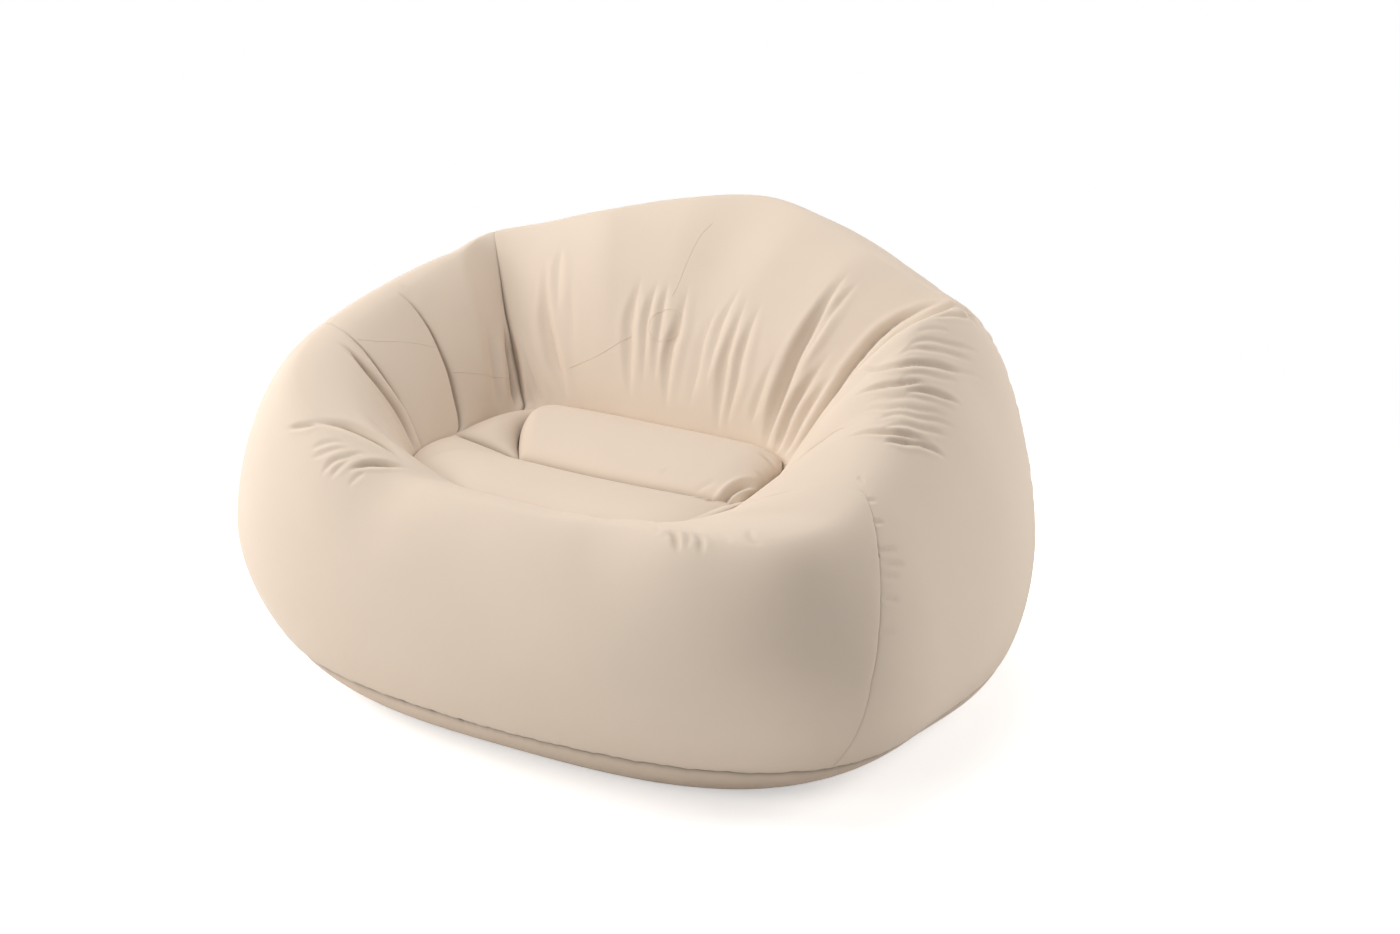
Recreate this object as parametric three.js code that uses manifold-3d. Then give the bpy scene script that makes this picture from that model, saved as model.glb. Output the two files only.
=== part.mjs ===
// Inflatable lounge chair: a round air chamber welded from vinyl panels, a seat well with two
// channels, inner webs that hold the form, and a two-stage air valve low on the back.
// Millimetres, +Z up. The origin is on the floor, in the middle of the chair's outline.
// The chair faces -Y, so the sitter's left arm is at +X.
import * as THREE from 'three';
import Module from 'manifold-3d';
import { mergeVertices } from 'three/addons/utils/BufferGeometryUtils.js';

const wasm = await Module();
wasm.setup();

// Plan sizes: the reaches run from the middle of the seat well.
const chairWidth = 1070;
const frontReach = 312;
const backReach = 590;
const wellWidth = 480;
const wellFrontReach = 178;
const wellRearReach = 163;

// Heights above the floor.
const seamHeight = 62;
const frontBulgeHeight = 180;
const frontCornerBulgeHeight = 228;
const armBulgeHeight = 183;
const rearCornerBulgeHeight = 209;
const backBulgeHeight = 250;
const frontCrestHeight = 360;
const frontCornerCrestHeight = 402;
const armFrontCrestHeight = 464;
const armCrestHeight = 509;
const armRearCrestHeight = 536;
const rearCornerCrestHeight = 546;
const backShoulderCrestHeight = 592;
const backCrestHeight = 622;
const seatFrontHeight = 338;
const seatEdgeHeight = 345;
const seatValleyHeight = 330;
const channelCrown = 22;

// Plan reach of the crest, from the middle of the seat well.
const frontCrestReach = 235;
const frontShoulderCrestReach = 261;
const frontCornerCrestReach = 340;
const armFrontCrestReach = 415;
const armCrestReach = 393;
const armRearCrestReach = 412;
const rearCornerCrestReach = 477;
const backShoulderCrestReach = 398;
const backCrestReach = 420;

// Sheets, welds and the folds that the welds draw in.
const skinThickness = 0.5;
const webThickness = 0.5;
const weldGap = 0.3;
const frontSeamFold = 10;
const frontCornerFold = 7;
const armFold = 10;
const cornerSeamFold = 10;
const backFold = 6;

// Valve, on its own axis out of the wall.
const valveHeight = 150;
const valvePadHalfWidth = 95;
const valvePadHalfHeight = 52;
const collarRadius = 32;
const collarFlange = 1.2;
const collarBore = 14;
const collarWall = 2;
const collarRim = 2.5;
const collarNeck = 6;
const plugClearance = 0.4;
const swingClearance = 0.3;
const insertRimRadius = 19;
const insertRim = 1.5;
const insertDepth = 8;
const insertBore = 8;
const insertHingeReach = 22;
const capRadius = 12;
const capDisc = 1.8;
const capDepth = 5.3;
const capWall = 1.4;
const capHingeReach = 14.5;
const flapOverlap = 1.5;
const flapThickness = 0.8;
const tabWidth = 10;
const tabThickness = 1.2;
const postLength = 4;
const bossLength = 1.6;

// Counts of the mesh. A column runs from the floor over the crest into the well.
const frontHalfColumns = 8;
const armColumns = 14;
const backHalfColumns = 8;
const valveSides = 24;
const crossingSteps = 4;

// Plan angles in degrees from the front, and exponents of the rounded curves.
const frontSeamAngle = 71;
const frontSeamCrestAngle = 77;
const cornerSeamAngle = 128;
const backAngle = 180;
const frontPlanExponent = 2.8;
const backPlanExponent = 2.65;
const wellExponent = 4;
const underExponent = 1.85;
const overExponent = 1.7;
const footShares = [[0, 0.56], [45, 0.59], [90, 0.65], [130, 0.84], [backAngle, 0.76]];
const innerExponents = [[0, 2.0], [45, 1.55], [90, 1.15], [130, 1.3], [backAngle, 1.35]];

const halfColumns = frontHalfColumns + armColumns + backHalfColumns;
const columns = 2 * halfColumns;
const cornerColumn = frontHalfColumns + armColumns;
const wellCentreY = frontReach - (frontReach + backReach) / 2;

// Columns whose fold a weld draws in, and where on the section each fold starts (2 is the crest).
const folds = [
  { column: frontHalfColumns, depth: frontSeamFold, start: 1.15 },
  { column: frontHalfColumns - 2, depth: frontCornerFold, start: 2 },
  { column: frontHalfColumns + 5, depth: armFold, start: 2 },
  { column: cornerColumn, depth: cornerSeamFold, start: 2 },
  { column: cornerColumn + 2, depth: backFold, start: 2 },
];
const foldWidthShare = 0.9;
const foldGrowShare = 0.5;
const foldFadeShare = 0.35;

// A smooth curve through stations round the chair, which never overshoots them.
function stationCurve(stations) {
  const slopes = stations.slice(1).map(([angle, value], i) => {
    const [angleBefore, valueBefore] = stations[i];
    return (value - valueBefore) / (angle - angleBefore);
  });
  const tangents = stations.map((station, i) => {
    const before = slopes[i - 1];
    const after = slopes[i];
    if (before === undefined || after === undefined || before * after <= 0) return 0;
    return (2 * before * after) / (before + after);
  });
  return (angle) => {
    let i = 0;
    while (i < stations.length - 2 && angle > stations[i + 1][0]) i += 1;
    const span = stations[i + 1][0] - stations[i][0];
    const t = (angle - stations[i][0]) / span;
    return (1 + 2 * t) * (1 - t) ** 2 * stations[i][1]
      + t * (1 - t) ** 2 * span * tangents[i]
      + t * t * (3 - 2 * t) * stations[i + 1][1]
      + t * t * (t - 1) * span * tangents[i + 1];
  };
}

const crestHeight = stationCurve([
  [0, frontCrestHeight], [35, frontCrestHeight], [54, frontCornerCrestHeight], [72, armFrontCrestHeight],
  [92, armCrestHeight], [116, armRearCrestHeight], [cornerSeamAngle, rearCornerCrestHeight],
  [150, backShoulderCrestHeight], [backAngle, backCrestHeight],
]);
const crestReach = stationCurve([
  [0, frontCrestReach], [30, frontShoulderCrestReach], [50, frontCornerCrestReach], [70, armFrontCrestReach],
  [92, armCrestReach], [116, armRearCrestReach], [cornerSeamAngle, rearCornerCrestReach],
  [150, backShoulderCrestReach], [backAngle, backCrestReach],
]);
const bulgeHeight = stationCurve([
  [0, frontBulgeHeight], [60, frontCornerBulgeHeight], [90, armBulgeHeight],
  [130, rearCornerBulgeHeight], [backAngle, backBulgeHeight],
]);
const wellHeight = stationCurve([[0, seatFrontHeight], [60, seatEdgeHeight], [backAngle, seatEdgeHeight]]);
const footShare = stationCurve(footShares);
const innerExponent = stationCurve(innerExponents);

// Plan directions and the rounded plan outlines.
function planPoint(angle, reach) {
  const radians = THREE.MathUtils.degToRad(angle);
  return new THREE.Vector2(Math.sin(radians) * reach, -Math.cos(radians) * reach);
}

function outlineReach(angle, halfWidth, front, back, frontExponent, backExponent) {
  const direction = planPoint(angle, 1);
  const rear = THREE.MathUtils.smoothstep(direction.y, -0.5, 0.5);
  const exponent = THREE.MathUtils.lerp(frontExponent, backExponent, rear);
  const across = Math.abs(direction.x) / halfWidth;
  const along = Math.abs(direction.y) / (direction.y < 0 ? front : back);
  return (across ** exponent + along ** exponent) ** (-1 / exponent);
}

// Plan angle of a column, where the front seam lies at the given angle.
function columnAngle(column, seamAngle) {
  if (column <= frontHalfColumns) return (column / frontHalfColumns) * seamAngle;
  if (column <= cornerColumn) {
    return seamAngle + ((column - frontHalfColumns) / armColumns) * (cornerSeamAngle - seamAngle);
  }
  return cornerSeamAngle + ((column - cornerColumn) / backHalfColumns) * (backAngle - cornerSeamAngle);
}

// On the seat well the seams run into the corners.
function wellPoint(column) {
  const frontCorner = THREE.MathUtils.radToDeg(Math.atan2(wellWidth / 2, wellFrontReach));
  const rearCorner = backAngle - THREE.MathUtils.radToDeg(Math.atan2(wellWidth / 2, wellRearReach));
  let angle;
  if (column <= frontHalfColumns) {
    angle = (column / frontHalfColumns) * frontCorner;
  } else if (column <= cornerColumn) {
    angle = frontCorner + ((column - frontHalfColumns) / armColumns) * (rearCorner - frontCorner);
  } else {
    angle = rearCorner + ((column - cornerColumn) / backHalfColumns) * (backAngle - rearCorner);
  }
  const reach = outlineReach(angle, wellWidth / 2, wellFrontReach, wellRearReach, wellExponent, wellExponent);
  const plan = planPoint(angle, reach);
  return new THREE.Vector3(plan.x, plan.y, wellHeight(angle));
}

// The two coordinates of a quarter of a rounded curve: share 0 is where it starts to turn.
function quarter(share, exponent) {
  const radians = (share * Math.PI) / 2;
  const leaving = Math.max(Math.cos(radians), 0) ** (2 / exponent);
  const rising = Math.max(Math.sin(radians), 0) ** (2 / exponent);
  return [leaving, rising];
}

// Share of the lower quarter at which the skin reaches a height.
function shareAtHeight(height, bulge) {
  return Math.acos((1 - height / bulge) ** (underExponent / 2)) / (Math.PI / 2);
}

function foldDepth(column, section) {
  let depth = 0;
  for (const fold of folds) {
    const across = Math.exp(-(((column - fold.column) / foldWidthShare) ** 2));
    const grow = THREE.MathUtils.clamp((section - fold.start) / foldGrowShare, 0, 1);
    const fade = THREE.MathUtils.clamp((3 - section) / foldFadeShare, 0, 1);
    depth += fold.depth * across * grow * fade;
  }
  return depth;
}

// A point of the outer face of the skin on the +X half. The section runs from 0 at the foot
// through 1 at the bulge and 2 at the crest to 3 at the edge of the seat well.
function halfSkinPoint(column, section) {
  const outerAngle = columnAngle(column, frontSeamAngle);
  const crestAngle = columnAngle(column, frontSeamCrestAngle);
  const outer = outlineReach(outerAngle, chairWidth / 2, frontReach, backReach, frontPlanExponent, backPlanExponent);
  const bulge = planPoint(outerAngle, outer);
  const foot = planPoint(outerAngle, outer * footShare(outerAngle));
  const crest = planPoint(crestAngle, crestReach(crestAngle));
  const well = wellPoint(column);
  const wellPlan = new THREE.Vector2(well.x, well.y);
  const low = bulgeHeight(outerAngle);
  const high = crestHeight(crestAngle);
  let plan;
  let height;
  if (section <= 1) {
    const [leaving, rising] = quarter(section, underExponent);
    plan = foot.lerp(bulge, rising);
    height = low * (1 - leaving);
  } else if (section <= 2) {
    const [leaving, rising] = quarter(section - 1, overExponent);
    plan = crest.lerp(bulge, leaving);
    height = THREE.MathUtils.lerp(low, high, rising);
  } else {
    const [leaving, rising] = quarter(section - 2, innerExponent(crestAngle));
    plan = crest.lerp(wellPlan, rising);
    height = THREE.MathUtils.lerp(well.z, high, leaving);
  }
  const point = new THREE.Vector3(plan.x, plan.y, height);
  const tubeMiddle = new THREE.Vector3((bulge.x + well.x) / 2, (bulge.y + well.y) / 2, low);
  const outward = point.clone().sub(tubeMiddle).normalize();
  return point.addScaledVector(outward, -foldDepth(column, section));
}

// The same on either half; columns count from the middle of the front towards +X and right round.
function rawSkinPoint(column, section) {
  const wrapped = (column + columns) % columns;
  const mirrored = wrapped > halfColumns;
  const point = halfSkinPoint(mirrored ? columns - wrapped : wrapped, section);
  if (mirrored) point.x = -point.x;
  point.y += wellCentreY;
  return point;
}

// The valve's own axes: Y out of the wall, Z up along it.
const valveSection = shareAtHeight(valveHeight, backBulgeHeight);
const valveCentre = rawSkinPoint(halfColumns, valveSection);
const probeStep = 0.02;
const wallUp = rawSkinPoint(halfColumns, valveSection + probeStep)
  .sub(rawSkinPoint(halfColumns, valveSection - probeStep)).normalize();
const wallAcross = new THREE.Vector3(1, 0, 0);
const wallOut = new THREE.Vector3().crossVectors(wallUp, wallAcross);

// The wall is flat under the valve and eases back to its own curve round it.
function skinPoint(column, section) {
  const point = rawSkinPoint(column, section);
  const fromValve = point.clone().sub(valveCentre);
  const across = fromValve.dot(wallAcross) / valvePadHalfWidth;
  const up = fromValve.dot(wallUp) / valvePadHalfHeight;
  const distance = Math.hypot(across, up);
  const outOfWall = fromValve.dot(wallOut);
  if (point.y < 0 || section >= 2 || distance >= 2) return point;
  const hold = 1 - THREE.MathUtils.smoothstep(distance, 1, 2);
  return point.addScaledVector(wallOut, -outOfWall * hold);
}

// Rows of the skin from the foot to the edge of the well, as section values of one column.
const underSeamSteps = 2;
const seamToBulgeSteps = 4;
const bulgeToCrestSteps = 5;
const crestToWellSteps = 5;
const bulgeRow = underSeamSteps + seamToBulgeSteps;
const crestRow = bulgeRow + bulgeToCrestSteps;
const wellRow = crestRow + crestToWellSteps;

function sectionOfRow(row, column) {
  if (row > crestRow) return 2 + (row - crestRow) / crestToWellSteps;
  if (row >= bulgeRow) return 1 + (row - bulgeRow) / bulgeToCrestSteps;
  const half = column > halfColumns ? columns - column : column;
  const bulge = bulgeHeight(columnAngle(half, frontSeamAngle));
  if (row <= underSeamSteps) return shareAtHeight(seamHeight, bulge) * (row / underSeamSteps);
  const valveShare = (valveHeight - seamHeight) / (backBulgeHeight - seamHeight);
  const heightShares = [0, valveShare / 2, valveShare, (1 + valveShare) / 2, 1];
  const height = THREE.MathUtils.lerp(seamHeight, bulge, heightShares[row - underSeamSteps]);
  return shareAtHeight(height, bulge);
}

// The whole outer face as one mesh of shared points, so that neighbouring panels match.
const points = [];
for (let row = 0; row <= wellRow; row += 1) {
  for (let column = 0; column < columns; column += 1) {
    points.push(skinPoint(column, sectionOfRow(row, column)));
  }
}

function skinIndex(row, column) {
  return row * columns + ((column + columns) % columns);
}

// Seat: a patch stretched across the well. Lines run across it, and line 0 is the front edge.
const seatCrossSteps = 2 * frontHalfColumns;
const seatLineSteps = armColumns;
const frontChannelSteps = 7;
const gussetShare = 0.17;
const seatIndices = [];

function crossingShare(step, line) {
  if (step === 0) return 0;
  if (step === seatCrossSteps) return 1;
  const edgeShare = 1 / seatCrossSteps;
  const inFront = line <= frontChannelSteps;
  const rearChannelSteps = seatLineSteps - frontChannelSteps;
  const toValley = inFront ? line / frontChannelSteps : (seatLineSteps - line) / rearChannelSteps;
  const endShare = THREE.MathUtils.lerp(edgeShare, gussetShare, toValley);
  return endShare + ((1 - 2 * endShare) * (step - 1)) / (seatCrossSteps - 2);
}

function edgePoint(column) {
  const wrapped = (column + columns) % columns;
  const mirrored = wrapped > halfColumns;
  const point = wellPoint(mirrored ? columns - wrapped : wrapped);
  if (mirrored) point.x = -point.x;
  point.y += wellCentreY;
  return point;
}

function stretchedPoint(across, along, line) {
  const front = edgePoint(across * seatCrossSteps - frontHalfColumns);
  const rear = edgePoint(halfColumns + backHalfColumns - across * seatCrossSteps);
  const sideA = edgePoint(-frontHalfColumns - line);
  const sideB = edgePoint(frontHalfColumns + line);
  const frontCorner = edgePoint(frontHalfColumns);
  const rearCorner = edgePoint(cornerColumn);
  const point = front.lerp(rear, along).add(sideA.lerp(sideB, across));
  const cornerX = THREE.MathUtils.lerp(frontCorner.x, rearCorner.x, along) * (2 * across - 1);
  const cornerY = THREE.MathUtils.lerp(frontCorner.y, rearCorner.y, along);
  const cornerZ = THREE.MathUtils.lerp(frontCorner.z, rearCorner.z, along);
  return point.sub(new THREE.Vector3(cornerX, cornerY, cornerZ));
}

// Two channels across the seat, with a valley between them and a low pocket beside the rear one.
function seatPoint(step, line) {
  const along = line / seatLineSteps;
  const valley = frontChannelSteps / seatLineSteps;
  const across = crossingShare(step, line);
  const point = stretchedPoint(across, along, line);
  const inFront = line <= frontChannelSteps;
  const channel = inFront ? along / valley : (along - valley) / (1 - valley);
  const toValley = inFront ? channel : 1 - channel;
  const fromSide = Math.min(across, 1 - across) / crossingShare(1, line);
  const channelEnd = inFront ? Math.min(across, 1 - across) : fromSide - 1;
  const roundEndShare = inFront ? 0.12 : 1;
  const roundEnd = Math.sqrt(THREE.MathUtils.clamp(channelEnd / roundEndShare, 0, 1));
  const crown = Math.sqrt(Math.max(4 * channel * (1 - channel), 0));
  const drop = (seatEdgeHeight - seatValleyHeight) * toValley * Math.min(1, fromSide);
  point.z += channelCrown * crown * roundEnd - drop;
  return point;
}

function seatEdgeIndex(step, line) {
  if (line === 0) return skinIndex(wellRow, step - frontHalfColumns);
  if (line === seatLineSteps) return skinIndex(wellRow, halfColumns + backHalfColumns - step);
  if (step === 0) return skinIndex(wellRow, -frontHalfColumns - line);
  if (step === seatCrossSteps) return skinIndex(wellRow, frontHalfColumns + line);
  return undefined;
}

for (let line = 0; line <= seatLineSteps; line += 1) {
  const indices = [];
  for (let step = 0; step <= seatCrossSteps; step += 1) {
    let index = seatEdgeIndex(step, line);
    if (index === undefined) {
      index = points.length;
      points.push(seatPoint(step, line));
    }
    indices.push(index);
  }
  seatIndices.push(indices);
}

const baseCentre = points.length;
points.push(new THREE.Vector3(0, 0, 0));

function addQuad(faces, a, b, c, d) {
  faces.push([a, b, c], [a, c, d]);
}

// Faces of the band of skin between two rows, over the columns from first to last.
function bandFaces(firstRow, lastRow, firstColumn, lastColumn) {
  const faces = [];
  for (let row = firstRow; row < lastRow; row += 1) {
    for (let column = firstColumn; column < lastColumn; column += 1) {
      addQuad(
        faces,
        skinIndex(row, column),
        skinIndex(row, column + 1),
        skinIndex(row + 1, column + 1),
        skinIndex(row + 1, column),
      );
    }
  }
  return faces;
}

function inGusset(step, line) {
  return line >= frontChannelSteps && (step === 0 || step === seatCrossSteps - 1);
}

function seatFaces(wanted) {
  const faces = [];
  for (let line = 0; line < seatLineSteps; line += 1) {
    for (let step = 0; step < seatCrossSteps; step += 1) {
      if (!wanted(step, line)) continue;
      addQuad(
        faces,
        seatIndices[line][step],
        seatIndices[line][step + 1],
        seatIndices[line + 1][step + 1],
        seatIndices[line + 1][step],
      );
    }
  }
  return faces;
}

// The base sheet lies flat on the floor and turns up to the seam round the foot.
function baseFaces() {
  const faces = bandFaces(0, underSeamSteps, 0, columns);
  for (let column = 0; column < columns; column += 1) {
    faces.push([baseCentre, skinIndex(0, column + 1), skinIndex(0, column)]);
  }
  return faces;
}

const panelFaces = {
  base_panel: baseFaces(),
  front_panel: bandFaces(underSeamSteps, wellRow, -frontHalfColumns, frontHalfColumns),
  left_arm_panel: bandFaces(underSeamSteps, wellRow, frontHalfColumns, cornerColumn),
  back_panel: bandFaces(underSeamSteps, wellRow, cornerColumn, columns - cornerColumn),
  right_arm_panel: bandFaces(underSeamSteps, wellRow, columns - cornerColumn, columns - frontHalfColumns),
  seat_panel: seatFaces((step, line) => !inGusset(step, line)),
  seat_gusset_left: seatFaces((step, line) => inGusset(step, line) && step > 0),
  seat_gusset_right: seatFaces((step, line) => inGusset(step, line) && step === 0),
};

// One normal for each shared point, so that welded edges are mitred alike on both sides.
const normals = points.map(() => new THREE.Vector3());
for (const faces of Object.values(panelFaces)) {
  for (const face of faces) {
    const [a, b, c] = face.map((index) => points[index]);
    const area = b.clone().sub(a).cross(c.clone().sub(a));
    face.forEach((index) => normals[index].add(area));
  }
}
normals.forEach((normal) => normal.normalize());

function closedGeometry(positions, triangles) {
  const geometry = new THREE.BufferGeometry();
  const array = new Float32Array(positions.flatMap((point) => [point.x, point.y, point.z]));
  geometry.setAttribute('position', new THREE.BufferAttribute(array, 3));
  geometry.setIndex(triangles.flat());
  return geometry;
}

function borderEdges(faces) {
  const seen = new Set();
  const edges = faces.flatMap(([a, b, c]) => [[a, b], [b, c], [c, a]]);
  edges.forEach(([from, to]) => seen.add(`${from}_${to}`));
  return edges.filter(([from, to]) => !seen.has(`${to}_${from}`));
}

// Half the weld gap off each border, measured square to it along the sheet. A sharp corner
// isn't drawn back further than the least mitre allows.
const leastMitreShare = 0.5;

function borderInsets(edges) {
  const pulls = new Map();
  for (const [from, to] of edges) {
    const along = points[to].clone().sub(points[from]);
    for (const index of [from, to]) {
      const inward = new THREE.Vector3().crossVectors(normals[index], along).normalize();
      if (!pulls.has(index)) pulls.set(index, []);
      pulls.get(index).push(inward);
    }
  }
  const insets = new Map();
  for (const [index, [first, second]] of pulls) {
    const share = 1 / Math.max(1 + first.dot(second), leastMitreShare);
    insets.set(index, first.clone().add(second).multiplyScalar((share * weldGap) / 2));
  }
  return insets;
}

// A panel: its part of the outer face, drawn back from its welds and given its thickness inward.
function panelGeometry(faces) {
  const edges = borderEdges(faces);
  const insets = borderInsets(edges);
  const order = [...new Set(faces.flat())];
  const place = new Map(order.map((index, i) => [index, i]));
  const count = order.length;
  const outer = order.map((index) => points[index].clone().add(insets.get(index) ?? new THREE.Vector3()));
  const inner = outer.map((point, i) => point.clone().addScaledVector(normals[order[i]], -skinThickness));
  const triangles = faces.map((face) => face.map((index) => place.get(index)));
  for (const [a, b, c] of [...triangles]) triangles.push([c + count, b + count, a + count]);
  for (const [from, to] of edges) {
    const a = place.get(from);
    const b = place.get(to);
    addQuad(triangles, b, a, a + count, b + count);
  }
  return closedGeometry([...outer, ...inner], triangles);
}

// A sheet through a grid of points, with half its thickness to each side.
function sheetGeometry(grid) {
  const last = grid.length - 1;
  const end = grid[0].length - 1;
  const sides = [[], []];
  grid.forEach((line, i) => line.forEach((point, j) => {
    const along = grid[Math.min(i + 1, last)][j].clone().sub(grid[Math.max(i - 1, 0)][j]);
    const across = grid[i][Math.min(j + 1, end)].clone().sub(grid[i][Math.max(j - 1, 0)]);
    const half = along.cross(across).normalize().multiplyScalar(webThickness / 2);
    sides[0].push(point.clone().add(half));
    sides[1].push(point.clone().sub(half));
  }));
  const width = end + 1;
  const count = grid.length * width;
  const triangles = [];
  for (let i = 0; i < last; i += 1) {
    for (let j = 0; j < end; j += 1) {
      const corner = i * width + j;
      addQuad(triangles, corner, corner + width, corner + width + 1, corner + 1);
    }
  }
  const edges = borderEdges(triangles);
  for (const [a, b, c] of [...triangles]) triangles.push([c + count, b + count, a + count]);
  for (const [a, b] of edges) addQuad(triangles, b, a, a + count, b + count);
  return closedGeometry([...sides[0], ...sides[1]], triangles);
}

// A point just inside the skin, where a web is welded to it.
function weldPoint(index) {
  return points[index].clone().addScaledVector(normals[index], -(skinThickness + weldGap));
}

function ruledGrid(firstLine, secondLine, steps) {
  const grid = [];
  for (let i = 0; i <= steps; i += 1) {
    grid.push(firstLine.map((point, j) => point.clone().lerp(secondLine[j], i / steps)));
  }
  return grid;
}

// A web in one column ties the inner wall of an arm or of the back to the outer wall.
function webGeometry(column) {
  const innerRows = [1, 2, 3, 4].map((row) => crestRow + row);
  const outerRows = [3, 2, 1, 0].map((row) => bulgeRow + row);
  const innerLine = innerRows.map((row) => weldPoint(skinIndex(row, column)));
  const outerLine = outerRows.map((row) => weldPoint(skinIndex(row, column)));
  return sheetGeometry(ruledGrid(innerLine, outerLine, crossingSteps));
}

// A beam stands on the base sheet under one line of the seat and stops short of the side walls.
const beamFootShare = 0.85;

function beamGeometry(line) {
  const beamEndSteps = 2;
  const top = [];
  for (let step = beamEndSteps; step <= seatCrossSteps - beamEndSteps; step += 1) {
    const point = points[seatIndices[line][step]].clone();
    point.z -= 2 * (skinThickness + weldGap);
    top.push(point);
  }
  const bottom = top.map((point) => new THREE.Vector3(
    point.x * beamFootShare,
    wellCentreY + (point.y - wellCentreY) * beamFootShare,
    skinThickness + weldGap,
  ));
  return sheetGeometry(ruledGrid(bottom, top, crossingSteps - 2));
}

// Joining and cutting of closed meshes.
function toSolid(geometry) {
  const bare = geometry.clone();
  bare.deleteAttribute('normal');
  bare.deleteAttribute('uv');
  const merged = mergeVertices(bare);
  return new wasm.Manifold(new wasm.Mesh({
    numProp: 3,
    vertProperties: merged.attributes.position.array,
    triVerts: new Uint32Array(merged.index.array),
  }));
}

function toGeometry(solid) {
  const mesh = solid.getMesh();
  const geometry = new THREE.BufferGeometry();
  geometry.setAttribute('position', new THREE.BufferAttribute(mesh.vertProperties, mesh.numProp));
  geometry.setIndex(new THREE.BufferAttribute(mesh.triVerts, 1));
  return geometry;
}

// A turned piece from the corners of its section, as [radius, height] pairs.
function turned(corners) {
  const outline = [...corners, corners[0]].map(([radius, height]) => new THREE.Vector2(radius, height));
  return toSolid(new THREE.LatheGeometry(outline, valveSides));
}

// A block between two heights and two reaches from the valve's axis; side 1 is up the wall.
function block(width, low, high, near, far, side) {
  const geometry = new THREE.BoxGeometry(width, high - low, far - near);
  geometry.translate(0, (low + high) / 2, (side * (near + far)) / 2);
  return toSolid(geometry);
}

// The radius that a swinging plug may keep at a depth below its hinge and still leave its bore.
function swingRadius(hingeReach, bore, mouthDepth, depth) {
  const farWall = hingeReach + bore - swingClearance;
  return Math.sqrt(farWall ** 2 + mouthDepth ** 2 - depth ** 2) - hingeReach;
}

// Heights on the valve's axis, out of the wall.
const flangeTop = weldGap + collarFlange;
const collarTop = flangeTop + collarRim;
const insertSeat = collarTop + weldGap;
const insertTop = insertSeat + insertRim;
const insertEnd = insertSeat - insertDepth;
const capSeat = insertTop + weldGap;
const capTop = capSeat + capDisc;
const flapSeat = insertEnd - weldGap;
const flapFace = flapSeat - flapThickness;
const flapRadius = insertBore + flapOverlap;
const flapHingeReach = flapRadius + weldGap;
const halfGap = weldGap / 2;

// The collar is welded to the outside of the back panel, and its neck goes in through the hole.
function collarSolid() {
  const neckRadius = collarBore + collarWall;
  const ring = turned([
    [collarBore, -collarNeck], [neckRadius, -collarNeck], [neckRadius, weldGap], [collarRadius, weldGap],
    [collarRadius, flangeTop], [neckRadius, flangeTop], [neckRadius, collarTop], [collarBore, collarTop],
  ]);
  const near = insertHingeReach + halfGap;
  const post = block(tabWidth, (weldGap + flangeTop) / 2, insertTop, near, near + postLength, 1);
  return ring.add(post);
}

// The insert plugs the collar for use and swings out of it on its strap for fast emptying.
function insertSolid() {
  const mouthDepth = insertTop - collarTop;
  const seatRadius = swingRadius(insertHingeReach, collarBore, mouthDepth, insertRim);
  const topRadius = Math.min(seatRadius, collarBore - plugClearance);
  const endRadius = swingRadius(insertHingeReach, collarBore, mouthDepth, insertTop - insertEnd);
  const body = turned([
    [insertBore, insertEnd], [endRadius - plugClearance, insertEnd], [topRadius, insertSeat],
    [insertRimRadius, insertSeat], [insertRimRadius, insertTop], [insertBore, insertTop],
  ]);
  const rimMiddle = (topRadius + insertRimRadius) / 2;
  const tab = block(tabWidth, insertTop - tabThickness, insertTop, rimMiddle, insertHingeReach - halfGap, 1);
  const postLow = (insertSeat + insertTop) / 2;
  const capPost = block(tabWidth, postLow, capTop, capHingeReach + halfGap, insertRimRadius - halfGap, -1);
  const bossNear = flapHingeReach + halfGap;
  const boss = block(tabWidth / 2, flapFace, (insertEnd + insertSeat) / 2, bossNear, bossNear + bossLength, 1);
  return body.add(tab).add(capPost).add(boss);
}

// The cap stops the insert's bore; it is a hollow plug under a disc.
function capSolid() {
  const mouthDepth = capTop - insertTop;
  const topRadius = swingRadius(capHingeReach, insertBore, mouthDepth, capDisc + weldGap) - plugClearance / 2;
  const endRadius = swingRadius(capHingeReach, insertBore, mouthDepth, capDisc + capDepth) - plugClearance / 2;
  const plug = turned([
    [0, capTop], [0, capSeat], [topRadius - capWall, capSeat], [endRadius - capWall, capSeat - capDepth],
    [endRadius, capSeat - capDepth], [topRadius, capSeat], [capRadius, capSeat], [capRadius, capTop],
  ]);
  const tab = block(tabWidth / 2, capTop - tabThickness, capTop, capRadius / 2, capHingeReach - halfGap, -1);
  return plug.add(tab);
}

// The one-way flap hangs behind the insert's bore, and air going in pushes it open.
function flapSolid() {
  const disc = turned([[0, flapFace], [flapRadius, flapFace], [flapRadius, flapSeat], [0, flapSeat]]);
  const tab = block(tabWidth / 2, flapFace, flapSeat, flapRadius / 2, flapHingeReach - halfGap, 1);
  return disc.add(tab);
}

// The hole in the back panel for the collar's neck.
function holeSolid() {
  const radius = collarBore + collarWall + weldGap;
  const reach = collarRadius;
  return turned([[0, -reach], [radius, -reach], [radius, reach], [0, reach]]);
}

const valveAxes = new THREE.Matrix4().makeBasis(wallAcross, wallOut, wallUp).setPosition(valveCentre);

function backPanelGeometry() {
  const hole = toGeometry(holeSolid()).applyMatrix4(valveAxes);
  return toGeometry(toSolid(panelGeometry(panelFaces.back_panel)).subtract(toSolid(hole)));
}

// Materials.
function vinyl(colour, roughness) {
  return new THREE.MeshStandardMaterial({ color: colour, roughness, metalness: 0 });
}

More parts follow.
